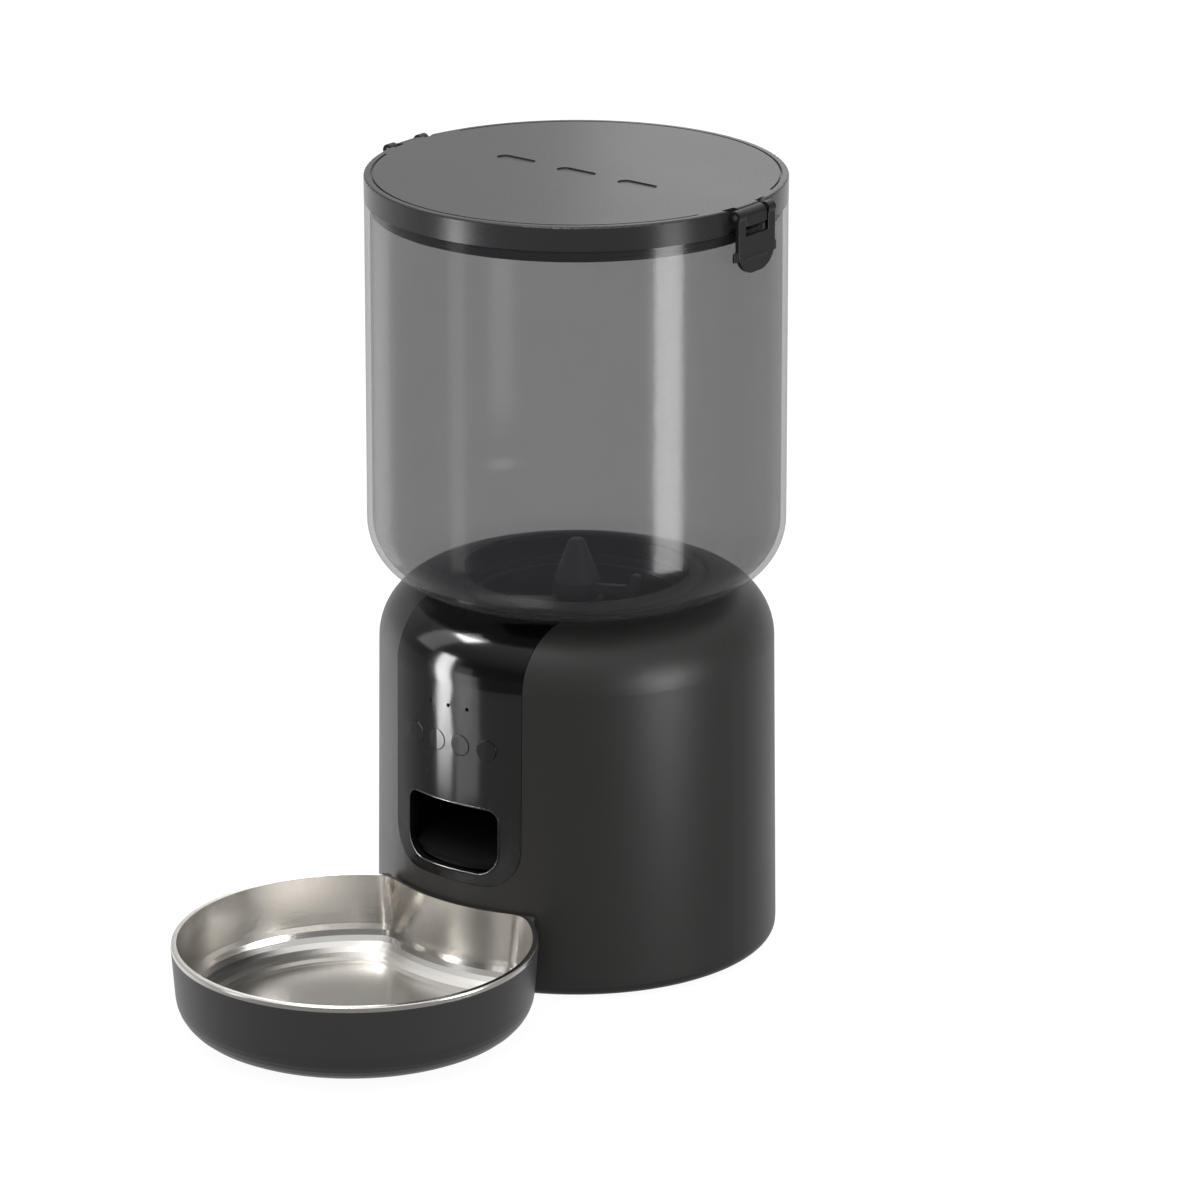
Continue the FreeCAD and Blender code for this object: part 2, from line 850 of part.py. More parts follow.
def chute():
    """Duct from the dosing chamber's outlet down to the window."""
    outer = padded("DuctOuter", "YZ_Plane", [
        ("-duct_back + duct_wall", "tub_under"),
        ("-duct_front - duct_wall", "tub_under"),
        ("-duct_front - duct_wall", "roof_bend + duct_wall"),
        ("-base_radius", "window_top + roof_rise + duct_wall"),
        ("-base_radius", "window_bottom + lip_wall - duct_floor_wall"),
        ("-duct_back + duct_wall", "floor_bend - duct_wall"),
    ], "2 * (duct_half + duct_wall)", True)
    inner = padded("DuctInner", "YZ_Plane", [
        ("-duct_back", "tub_under + sink"),
        ("-duct_front", "tub_under + sink"),
        ("-duct_front", "roof_bend"),
        ("-base_radius", "window_top + roof_rise"),
        ("-base_radius", "window_bottom + lip_wall"),
        ("-duct_back", "floor_bend"),
    ], "2 * duct_half", True)
    duct = common("DuctTrimmed", outer, housing("DuctReach", "(shell_wall + fit_gap)"))
    keep("chute", cut("Chute", duct, inner))
    pods = [
        box("Pod%d" % index, place, "sensor_back - base_radius", "window_top - 3 * sensor_size / 2",
            "sensor_size / 2", "sensor_size", "sensor_size")
        for index, place in enumerate(("duct_half + duct_wall", "-duct_half - duct_wall - sensor_size / 2"))
    ]
    keep("chute_sensors", group("ChuteSensors", *pods))


def buttons():
    """Keys: a cap that follows the panel's curve, a flange behind the wall and a stem."""
    outside = housing("KeyOutside", "-button_proud")
    flange_front = housing("KeyFlangeFront", "(shell_wall + fit_gap)")
    flange_back = housing("KeyFlangeBack", "(shell_wall + fit_gap + button_flange)")
    for index, node in enumerate(BUTTON_NAMES):
        cap = common("KeyCap%d" % index,
                     rod("KeyRod%d" % index, "button_radius", button_place(index), "-base_radius - past",
                         "button_height", "base_radius - front_reach", "Y"), outside)
        flange = common("KeyFlange%d" % index,
                        rod("KeyDisc%d" % index, "button_radius + button_flange", button_place(index),
                            "-base_radius - past", "button_height", "base_radius - front_reach", "Y"),
                        flange_front)
        front = cut("KeyFront%d" % index, fuse("KeyBoth%d" % index, cap, flange), flange_back)
        gap = "(board_front + switch_depth + plunger_depth + button_travel + stem_gap)"
        stem = common("KeyStem%d" % index,
                      rod("KeyStemRod%d" % index, "stem_radius", button_place(index), "-base_radius",
                          "button_height", "base_radius - " + gap, "Y"), outside)
        keep(node, fuse("Key%d" % index, front, stem))


def control_board():
    """Board behind the panel with the switches, the camera, the light and the microphone."""
    board = box("BoardPlate", "-board_half", "-board_front", "board_low", "2 * board_half", "board_wall",
                "board_high - board_low")
    chips = [
        box("BoardChip", "-chip_left", "-board_front + board_wall", "board_low + chip_rise",
            "chip_size", "chip_thick", "chip_size"),
        box("BoardRadio", "radio_left", "-board_front + board_wall", "board_low + radio_rise",
            "radio_width", "radio_thick", "radio_tall"),
    ]
    keep("control_board", fuse("ControlBoard", board, *chips))
    switches = []
    for index in range(4):
        place = button_place(index)
        switches.append(fuse(
            "Switch%d" % index,
            box("SwitchBody%d" % index, place + " - switch_size / 2", "-board_front - switch_depth",
                "button_height - switch_size / 2", "switch_size", "switch_depth", "switch_size"),
            rod("Plunger%d" % index, "stem_radius", place, "-board_front - switch_depth - plunger_depth",
                "button_height", "plunger_depth", "Y")))
    keep("button_switches", group("ButtonSwitches", *switches))
    camera = box("CameraBody", "-camera_size / 2", "-board_front - camera_depth",
                 "pinhole_height - camera_size / 2", "camera_size", "camera_depth", "camera_size")
    lens = rod("CameraLens", "lens_radius", "0", "-base_radius + panel_wall + lens_set", "pinhole_height",
               "base_radius - panel_wall - lens_set - board_front - lens_sunk", "Y")
    keep("camera_module", fuse("CameraModule", camera, lens))
    pipe = rod("PipeBody", "pipe_radius", "-pinhole_pitch", "-board_front - fit_gap - pipe_length",
               "pinhole_height", "pipe_length", "Y")
    tip = rod("PipeTip", "pinhole_radius - tip_fit", "-pinhole_pitch", "-base_radius + tip_set",
              "pinhole_height", "base_radius - tip_set - board_front - tip_sunk", "Y")
    keep("indicator_light", fuse("IndicatorLight", pipe, tip))
    capsule = rod("MicCapsule", "capsule_radius", "pinhole_pitch", "-board_front - capsule_depth",
                  "pinhole_height", "capsule_depth", "Y")
    boot = rod("MicBoot", "boot_radius", "pinhole_pitch",
               "-board_front - capsule_depth + boot_sunk - boot_length", "pinhole_height",
               "boot_length", "Y")
    keep("microphone", fuse("Microphone", capsule, boot))


def bottom_cover():
    """Closing plate whose rim is the foot band, with the battery opening and the speaker's holes."""
    plate = turned("CoverPlate", [
        ("0", "floor_gap"),
        ("base_radius - cover_inset", "floor_gap", "band_round"),
        ("base_radius - cover_inset", "band_height"),
        ("base_radius - shell_wall", "band_height"),
        ("base_radius - shell_wall", "cover_top"),
        ("0", "cover_top"),
    ])
    near = "base_radius - jack_board_reach + 2 * post_radius"
    far = near + " + jack_board_length / 2"
    posts = [
        rod("JackPost%d" % index, "post_radius", side + "jack_post_out", place, "cover_top - sink",
            "jack_height - jack_thick / 2 - board_wall - cover_top + sink")
        for index, (side, place) in enumerate((("-", near), ("", near), ("-", far), ("", far)))
    ]
    door = box("DoorOpening", "-bay_half + bay_ledge", "-bay_front - door_room", "0",
               "2 * (bay_half - bay_ledge)",
               "bay_front + door_room + door_pin_at + door_barrel_radius + fit_gap", "band_height + past")
    pin_bore = rod("DoorPinBore", "door_pin_radius + shaft_fit", "-bay_half - pin_past", "door_pin_at",
                   "floor_gap + door_barrel_radius", "2 * (bay_half + pin_past)", "X")
    holes = [rod("SpeakerHole6", "speaker_hole_radius", "0", "-speaker_back", "0", "2 * past")]
    for index in range(6):
        turn = 60 * index
        holes.append(rod("SpeakerHole%d" % index, "speaker_hole_radius",
                         "speaker_hole_circle * cos(%d)" % turn,
                         "speaker_hole_circle * sin(%d) - speaker_back" % turn, "0", "2 * past"))
    for index in range(4):
        across, along = screw_place(index)
        holes.append(rod("CoverHole%d" % index, "screw_radius + screw_fit", across, along, "0",
                         "2 * past"))
        holes.append(rod("CoverSink%d" % index, "screw_head_radius + fit_gap", across, along, "0",
                         "floor_gap + screw_sink"))
        turn = 90 * index
        holes.append(rod("FootSink%d" % index, "foot_radius + slip_gap", "foot_circle * cos(%d)" % turn,
                         "foot_circle * sin(%d)" % turn, "0", "floor_gap + foot_depth"))
    keep("bottom_cover", cut("BottomCover", fuse("CoverFused", plate, *posts), door, pin_bore, *holes))
    feet = []
    screws = []
    for index in range(4):
        turn = 90 * index
        feet.append(rod("Foot%d" % index, "foot_radius", "foot_circle * cos(%d)" % turn,
                        "foot_circle * sin(%d)" % turn, "0", "floor_gap + foot_depth"))
        across, along = screw_place(index)
        screws.append(fuse(
            "CoverScrew%d" % index,
            rod("CoverShank%d" % index, "screw_radius", across, along, "floor_gap + shank_rise",
                "screw_length"),
            rod("CoverHead%d" % index, "screw_head_radius", across, along,
                "floor_gap + screw_sink - screw_head_tall", "screw_head_tall")))
    keep("rubber_feet", group("RubberFeet", *feet))
    keep("cover_screws", group("CoverScrews", *screws))


def battery_bay():
    """Bay for three cells side by side, its contacts and the hinged door under it."""
    outer = box("BayOuter", "-bay_half - bay_wall", "-bay_front - bay_wall", "cover_top",
                "2 * bay_half + 2 * bay_wall", "bay_front + bay_back + 2 * bay_wall", "bay_height")
    inner = box("BayInner", "-bay_half", "-bay_front", "cover_top - sink", "2 * bay_half",
                "bay_front + bay_back", "bay_height - bay_wall + sink")
    back_step = box("BayStep", "-bay_half - past", "bay_back - sink", "cover_top - sink",
                    "2 * (bay_half + past)", "2 * past",
                    "door_wall + floor_gap - cover_top + sink + step_room")
    standoffs = []
    near = "standoff_front - main_front"
    far = "main_depth - main_front - standoff_back"
    for index, (side, place) in enumerate((("-", near), ("", near), ("-", far), ("", far))):
        standoffs.append(rod("Standoff%d" % index, "post_radius", side + "(main_half - standoff_inset)",
                             place, "bay_top - sink / 2", "standoff_rise + sink / 2"))
    ribs = [
        box("BayRib%d" % index, "%scell_radius - rib_wall / 2" % side, "-bay_front", "bay_top - rib_drop",
            "rib_wall", "bay_front + bay_back", "rib_drop - sink")
        for index, side in enumerate(("-", ""))
    ]
    shell = cut("BayShell", outer, inner, back_step)
    keep("battery_tray", fuse("BatteryTray", shell, *standoffs, *ribs))
    contacts = []
    for index in (-1, 0, 1):
        middle = "(2 * cell_radius * %d)" % index
        tall = "cover_top + cell_radius"
        left = middle + " - contact_size / 2"
        low = tall + " - contact_size / 2"
        plate = box("Spring%dPlate" % (index + 1), left, "-bay_front", low, "contact_size",
                    "contact_wall", "contact_size")
        coil = doc.addObject("Part::Cone", "Spring%dCone" % (index + 1))
        coil.Placement = Placement(Vector(), AXES["Y"])
        bind(coil, x=middle, y="-bay_front + contact_wall", z=tall, Radius1="coil_low_radius",
             Radius2="coil_tip_radius", Height="coil_length")
        contacts.append(fuse("Spring%d" % (index + 1), plate, coil))
        contacts.append(box("Plate%d" % (index + 1), left, "bay_back - contact_wall", low,
                            "contact_size", "contact_wall", "contact_size"))
    keep("battery_contacts", group("BatteryContacts", *contacts))
    reach = "(bay_half - bay_ledge - fit_gap)"
    plate = box("DoorPlate", "-" + reach, "-bay_front + bay_ledge + fit_gap", "floor_gap", "2 * " + reach,
                "bay_front - bay_ledge - fit_gap + door_pin_at", "door_wall")
    barrel = rod("DoorBarrel", "door_barrel_radius", "-" + reach, "door_pin_at",
                 "floor_gap + door_barrel_radius", "2 * " + reach, "X")
    pin = rod("DoorPin", "door_pin_radius", "-bay_half - bay_wall - pin_end", "door_pin_at",
              "floor_gap + door_barrel_radius", "2 * (bay_half + bay_wall + pin_end)", "X")
    grips = [
        box("DoorGrip%d" % index, "-grip_length / 2", "-bay_front + grip_front + grip_pitch * %d" % index,
            "floor_gap - sink", "grip_length", "grip_width", "grip_depth + sink")
        for index in range(3)
    ]
    keep("battery_door", cut("BatteryDoor", fuse("DoorFused", plate, barrel, pin), *grips))


def electronics():
    """Main board on the battery bay, speaker and rear power jack."""
    low = "bay_top + standoff_rise"
    board = box("MainPlate", "-main_half", "-main_front", low, "2 * main_half", "main_depth", "board_wall")
    top = low + " + board_wall"
    parts = [
        box("MainChip", "-main_chip_left", "main_chip_at", top, "main_chip_size", "main_chip_size",
            "main_chip_tall"),
        box("MainDriver", "driver_left", "driver_at", top, "driver_length", "driver_width", "driver_tall"),
        box("MainPlug", "plug_left", "-plug_front", top, "plug_length", "plug_width", "plug_tall"),
        rod("MainCap", "cap_radius", "cap_left", "cap_at", top, "cap_tall"),
        rod("MainSmallCap", "small_cap_radius", "-small_cap_left", "small_cap_at", top, "small_cap_tall"),
    ]
    keep("main_board", fuse("MainBoard", board, *parts))
    frame = turned("SpeakerTurned", [
        ("0", "cover_top"),
        ("speaker_radius", "cover_top"),
        ("speaker_radius", "cover_top + speaker_rim_tall"),
        ("magnet_radius", "cover_top + speaker_cone_rise"),
        ("magnet_radius", "cover_top + speaker_tall"),
        ("0", "cover_top + speaker_tall"),
    ])
    bind(frame, y="-speaker_back")
    keep("speaker", frame)
    jack_low = "jack_height - jack_thick / 2"
    keep("power_board", box("PowerBoard", "-jack_board_half", "base_radius - jack_board_reach",
                            jack_low + " - board_wall", "2 * jack_board_half", "jack_board_length",
                            "board_wall"))
    back = "base_radius - shell_wall - jack_depth"
    metal = box("JackMetal", "-jack_width / 2", back + " - jack_inset", jack_low,
                "jack_width", "jack_depth", "jack_thick")
    mouth = box("JackMouth", "-jack_width / 2 + jack_shell", back + " + jack_shell",
                jack_low + " + jack_shell", "jack_width - 2 * jack_shell", "jack_depth",
                "jack_thick - 2 * jack_shell")
    tongue = box("JackTongue", "-jack_width / 2 + 3 * jack_shell", back,
                 "jack_height - tongue_thick / 2", "jack_width - 6 * jack_shell",
                 "jack_depth - jack_inset - 2 * jack_shell", "tongue_thick")
    keep("power_jack", fuse("PowerJack", cut("JackShell", metal, mouth), tongue))


def rotor_tub():
    """Dosing chamber that hangs on the neck's ledge, open above and through its outlet."""
    wall = turned("TubWall", [
        ("shaft_radius + shaft_fit", "tub_under"),
        ("tub_radius", "tub_under", "tub_round"),
        ("tub_radius", "ledge_top"),
        ("neck_radius - tub_fit", "ledge_top"),
        ("neck_radius - tub_fit", "ledge_top + tub_flange_wall"),
        ("tub_high_radius", "ledge_top + tub_flange_wall"),
        ("tub_high_radius", "baffle_low"),
        ("tub_low_radius", "baffle_low"),
        ("tub_low_radius", "tub_floor_top"),
        ("shaft_radius + tub_boss_wall", "tub_floor_top"),
        ("shaft_radius + tub_boss_wall", "tub_floor_top + boss_rise"),
        ("shaft_radius + shaft_fit", "tub_floor_top + boss_rise"),
    ])
    outlet = box("OutletTool", "-outlet_half", "-outlet_front", "tub_under - sink", "2 * outlet_half",
                 "outlet_front - outlet_back", "tub_floor + 2 * sink")
    sinks = [
        rod("CaseScrewSink%d" % index, "screw_radius + shaft_fit", across, along, "tub_under - sink",
            "screw_hold + sink")
        for index, (across, along) in enumerate(CASE_SCREWS)
    ]
    keep("rotor_tub", cut("RotorTub", wall, outlet, *sinks))


def outlet_baffle():
    """Ring in the chamber's mouth with a plate over the outlet."""
    ring = turned("BaffleRing", [
        ("tub_low_radius - baffle_lip", "baffle_low"),
        ("tub_high_radius - fit_gap", "baffle_low"),
        ("tub_high_radius - fit_gap", "baffle_low + baffle_wall"),
        ("tub_low_radius - baffle_lip", "baffle_low + baffle_wall"),
    ])
    plate = doc.addObject("Part::Cylinder", "BafflePlate")
    turn = Rotation(Vector(0, 0, 1), -90 - size("baffle_angle") / 2)
    plate.Placement = Placement(Vector(), turn)
    plate.setExpression("Placement.Rotation.Angle", link("270 - baffle_angle / 2"))
    bind(plate, z="baffle_low", Radius="tub_low_radius", Height="baffle_wall", Angle="baffle_angle")
    eye = rod("BaffleEye", "hub_neck_radius + eye_gap", "0", "0", "0", "base_height + 2 * past")
    crown = rod("BaffleCrown", "hub_neck_radius + crown_reach", "0", "0", "baffle_low", "baffle_wall")
    keep("outlet_baffle", cut("OutletBaffle", fuse("BaffleFused", ring, plate, crown), eye))


def rotor():
    """Shaft, hub, soft paddles and the stirrer above them, which all turn together."""
    shaft = rod("DriveShaft", "shaft_radius", "0", "0", "shaft_low", "shaft_length")
    keep("drive_shaft", shaft)
    hub = turned("HubTurned", [
        ("hub_radius", "hub_low"),
        ("hub_radius", "hub_high"),
        ("hub_neck_radius", "hub_high + hub_cone_tall"),
        ("hub_neck_radius", "stirrer_low"),
        ("0", "stirrer_low"),
        ("0", "hub_low"),
    ])
    bore = rod("HubBore", "shaft_radius", "0", "0", "shaft_low", "shaft_length")
    keep("rotor_hub", cut("RotorHub", hub, bore))
    sleeve = turned("SleeveTurned", [
        ("hub_radius", "hub_low + sleeve_rise"),
        ("hub_radius + sleeve_wall", "hub_low + sleeve_rise"),
        ("hub_radius + sleeve_wall", "hub_high - sleeve_drop"),
        ("hub_radius", "hub_high - sleeve_drop"),
    ])
    blades = around(padded("PaddleBlades", "XZ_Plane", [
        ("hub_radius + blade_root", "hub_low + sleeve_rise"),
        ("rotor_radius - blade_flat", "tub_floor_top + blade_gap"),
        ("rotor_radius", "tub_floor_top + blade_gap", "blade_low_round"),
        ("rotor_radius", "hub_high + blade_rise", "blade_high_round"),
        ("hub_radius + blade_root", "hub_high - sleeve_drop"),
    ], "paddle_wall", True), "paddle_count")
    keep("rotor_paddles", fuse("RotorPaddles", sleeve, blades))
    cone = turned("StirrerCone", [
        ("0", "stirrer_low"),
        ("hub_neck_radius + skirt_reach", "stirrer_low"),
        ("hub_neck_radius + skirt_reach", "stirrer_low + skirt_tall", "skirt_round"),
        ("stirrer_tip_radius", "stirrer_low + stirrer_height", "stirrer_tip_round"),
        ("0", "stirrer_low + stirrer_height"),
    ])
    arms = around(padded("StirrerArms", "XZ_Plane", [
        ("arm_root", "stirrer_low + arm_low"),
        ("stirrer_reach", "stirrer_low + arm_rise", "arm_bend"),
        ("stirrer_reach + arm_tip_half", "stirrer_low + arm_tip_rise", "arm_tip_round"),
        ("stirrer_reach - arm_tip_half", "stirrer_low + arm_tip_rise", "arm_tip_round"),
        ("stirrer_reach - arm_bend", "stirrer_low + arm_inner_rise", "arm_bend"),
        ("arm_root", "stirrer_low + arm_rise"),
    ], "stirrer_wall", True), "stirrer_count")
    keep("agitator", fuse("Agitator", cone, arms))


def involute(angle):
    return math.tan(angle) - angle


def gear_outline(teeth, module, play):
    """Closed outline of a spur gear with involute flanks, a tooth on the +X and +Y axes."""
    pitch = teeth * module / 2
    pressure = math.radians(size("pressure_angle"))
    base = pitch * math.cos(pressure)
    root = pitch - size("tooth_root") * module
    tip = pitch + size("tooth_tip") * module
    half = (math.pi * module / 2 - play) / (2 * pitch) + involute(pressure)
    flank = [max(base, root), (max(base, root) + pitch) / 2, pitch, (pitch + tip) / 2, tip]
    spread = [half - involute(math.acos(min(1.0, base / radius))) for radius in flank]
    if root < base:
        flank.insert(0, root)
        spread.insert(0, spread[0])
    points = []
    for tooth in range(teeth):
        middle = 2 * math.pi * tooth / teeth
        sides = [(radius, middle - turn) for radius, turn in zip(flank, spread)]
        sides += [(radius, middle + turn) for radius, turn in reversed(list(zip(flank, spread)))]
        points += [Vector(radius * math.cos(turn), radius * math.sin(turn), 0) for radius, turn in sides]
    return Part.makePolygon(points + points[:1])


def gear(teeth, module, width, bore, low=0.0):
    """A spur gear with a bore, from a height up."""
    disc = Part.Face(gear_outline(int(size(teeth)), size(module), size("tooth_play")))
    disc.translate(Vector(0, 0, low))
    return disc.extrude(Vector(0, 0, width)).cut(Part.makeCylinder(bore, width + 2, Vector(0, 0, low - 1)))


def gear_train():
    """Output gear, double idler gear and the motor's pinion."""
    wheel = size("wheel_low")
    output = size("output_low")
    idler_at = size("idler_at")
    over = size("pinion_over")
    big = gear("output_teeth", "gear_module", size("output_width"), size("shaft_radius"))
    keep("output_gear", plain("OutputGear", big, Vector(0, 0, output)))
    pin_bore = size("idler_pin_radius") + size("shaft_fit")
    width = size("wheel_width")
    lower = gear("wheel_teeth", "wheel_module", width, pin_bore)
    collar = Part.makeCylinder(size("collar_radius"), output - wheel)
    collar = collar.cut(Part.makeCylinder(pin_bore, output - wheel + 2, Vector(0, 0, -1)))
    upper = gear("pinion_teeth", "gear_module", size("output_width"), pin_bore, output - wheel)
    keep("idler_gear", plain("IdlerGear", lower.fuse([collar, upper]), Vector(0, idler_at, wheel)))
    small = gear("motor_teeth", "wheel_module", width + 2 * over, size("motor_shaft_radius"))
    keep("motor_pinion", plain("MotorPinion", small, Vector(0, size("motor_at"), wheel - over)))


CASE_SCREWS = (
    ("-lug_front_out", "lug_front_at"),
    ("lug_front_out", "lug_front_at"),
    ("-lug_rear_out", "lug_rear_at"),
    ("lug_rear_out", "lug_rear_at"),
)
OUTPUT_ROOM = "(output_teeth * gear_module / 2 + gear_module + gear_room)"
WHEEL_ROOM = "(wheel_teeth * wheel_module / 2 + wheel_module + gear_room)"
MOTOR_ROOM = "(motor_teeth * wheel_module / 2 + wheel_module + gear_room)"


def case_outline(name, low, height, extra):
    """The three round rooms of the gearbox, run together and grown by a wall."""
    rooms = ((OUTPUT_ROOM, "0"), (WHEEL_ROOM, "idler_at"), (MOTOR_ROOM, "motor_at"))
    return fuse(name, *[
        rod("%sRoom%d" % (name, index), room + " + " + extra, "0", along, low, height)
        for index, (room, along) in enumerate(rooms)
    ])


def case_arm(name, pair, low, height):
    """A bar that joins a pair of the case's lugs."""
    return box(name, "-%s_out" % pair, "%s_at - case_arm / 2" % pair, low, "2 * %s_out" % pair,
               "case_arm", height)


def gearbox():
    """Case and cover around the train, screwed under the dosing chamber, with the motor below."""
    inner_low = "case_low + case_wall + case_seat"
    lugs = [
        rod("CaseLug%d" % index, "lug_radius", across, along, "case_low", "case_height")
        for index, (across, along) in enumerate(CASE_SCREWS)
    ]
    arms = [
        case_arm("CaseArm", "lug_front", "case_low", "case_height"),
        case_arm("CaseTail", "lug_rear", "case_low", "case_height"),
        rod("MotorSeat", "motor_radius + motor_seat_wall", "0", "motor_at", "case_low",
            "case_wall + case_seat"),
    ]
    body = fuse("CaseBody", case_outline("CaseOuter", "case_low", "case_height", "case_wall"), *lugs, *arms)
    hollow = case_outline("CaseHollow", inner_low, "case_height", "0")
    bores = [
        rod("CaseShaftBore", "shaft_radius + shaft_fit", "0", "0", "case_low - sink", "2 * past"),
        rod("CasePinBore", "idler_pin_radius", "0", "idler_at", "case_low + idler_pin_low",
            "2 * past"),
        rod("CaseMotorBore", "motor_shaft_radius + motor_bore_gap", "0", "motor_at",
            "case_low - sink", "2 * past"),
    ]
    screw_bores = [
        rod("CaseScrewBore%d" % index, "screw_radius + shaft_fit", across, along, "case_low - sink",
            "8 * past")
        for index, (across, along) in enumerate(CASE_SCREWS)
    ]
    keep("gearbox_case", cut("GearboxCase", body, hollow, *bores, *screw_bores))
    cover_low = "case_low + case_height"
    lids = [
        rod("CoverLug%d" % index, "lug_radius", across, along, cover_low, "case_wall")
        for index, (across, along) in enumerate(CASE_SCREWS)
    ]
    arms = [
        case_arm("CoverArm", "lug_front", cover_low, "case_wall"),
        case_arm("CoverTail", "lug_rear", cover_low, "case_wall"),
    ]
    lid = fuse("CaseLid", case_outline("LidOuter", cover_low, "case_wall", "case_wall"), *lids, *arms)
    lid_bores = [
        rod("LidShaftBore", "shaft_radius + shaft_fit", "0", "0", cover_low + " - sink", "2 * past"),
        rod("LidPinBore", "idler_pin_radius", "0", "idler_at", cover_low + " - sink", "2 * past"),
    ]
    keep("gearbox_cover", cut("GearboxCover", lid, *lid_bores, *screw_bores))
    screws = []
    for index, (across, along) in enumerate(CASE_SCREWS):
        screws.append(fuse(
            "CaseScrew%d" % index,
            rod("CaseShank%d" % index, "screw_radius", across, along, "case_low",
                "case_height + case_wall + case_screw_reach"),
            rod("CaseHead%d" % index, "screw_head_radius", across, along,
                "case_low - case_head_tall", "case_head_tall")))
    keep("gearbox_screws", group("GearboxScrews", *screws))
    keep("idler_pin", rod("IdlerPin", "idler_pin_radius", "0", "idler_at", "case_low + idler_pin_low",
                          "case_height + case_wall - idler_pin_low"))
    can = turned("MotorTurned", [
        ("0", "case_low - motor_length"),
        ("motor_radius - motor_step", "case_low - motor_length"),
        ("motor_radius - motor_step", "case_low - motor_length + motor_step_tall"),
        ("motor_radius", "case_low - motor_length + motor_step_tall", "motor_round"),
        ("motor_radius", "case_low", "motor_round"),
        ("0", "case_low"),
    ])
    bind(can, y="motor_at")
    bore = rod("MotorBore", "motor_shaft_radius + shaft_fit", "0", "motor_at", "case_low - 4 * sink",
               "2 * past")
    tabs = [
        box("MotorTab%d" % index, side + " - tab_width / 2", "motor_at - tab_wall / 2",
            "case_low - motor_length - tab_length", "tab_width", "tab_wall", "tab_length + tab_sunk")
        for index, side in enumerate(("-tab_out", "tab_out"))
    ]
    keep("feed_motor", fuse("FeedMotor", cut("MotorCan", can, bore), *tabs))
    keep("motor_shaft", rod("MotorShaft", "motor_shaft_radius", "0", "motor_at",
                            "case_low - motor_shaft_low", "motor_shaft_length"))


def opposite(name, source):
    """The same piece on the other side of the axis."""
    return mirrored(name, mirrored(name + "Half", source), Vector(0, 1, 0))


def hopper_tank():
    """Clear tank: straight wall, round bottom corner, foot ring, spigot and the two catches."""
    wall = turned("TankWall", [
        ("tank_outlet_radius", "tank_base - spigot_length"),
        ("spigot_radius", "tank_base - spigot_length"),
        ("spigot_radius", "tank_base"),
        ("tank_foot_radius - tank_foot_width", "tank_base"),
        ("tank_foot_radius - tank_foot_width", "base_height"),
        ("tank_foot_radius", "base_height"),
        ("tank_foot_radius", "tank_base"),
        ("tank_low_radius", "tank_base", "tank_round"),
        ("tank_radius", "tank_top"),
        ("tank_radius - tank_wall", "tank_top"),
        ("tank_low_radius - tank_wall", "tank_base + tank_wall", "tank_round - tank_wall"),
        ("tank_outlet_radius", "tank_base + tank_wall"),
    ])
    catch = padded("TankCatch", "XZ_Plane", [
        ("tank_radius - catch_wall", "tank_top - catch_drop - catch_slope"),
        ("catch_out", "tank_top - catch_drop"),
        ("catch_out", "tank_top + catch_rise"),
        ("tank_radius + fit_gap", "tank_top + catch_rise"),
        ("tank_radius + fit_gap", "tank_top - catch_top_drop"),
        ("tank_radius - catch_wall", "tank_top - catch_top_drop"),
    ], "2 * catch_half", True)
    right = lean(catch)
    keep("hopper_tank", fuse("HopperTank", wall, right, opposite("TankCatchLeft", right)))


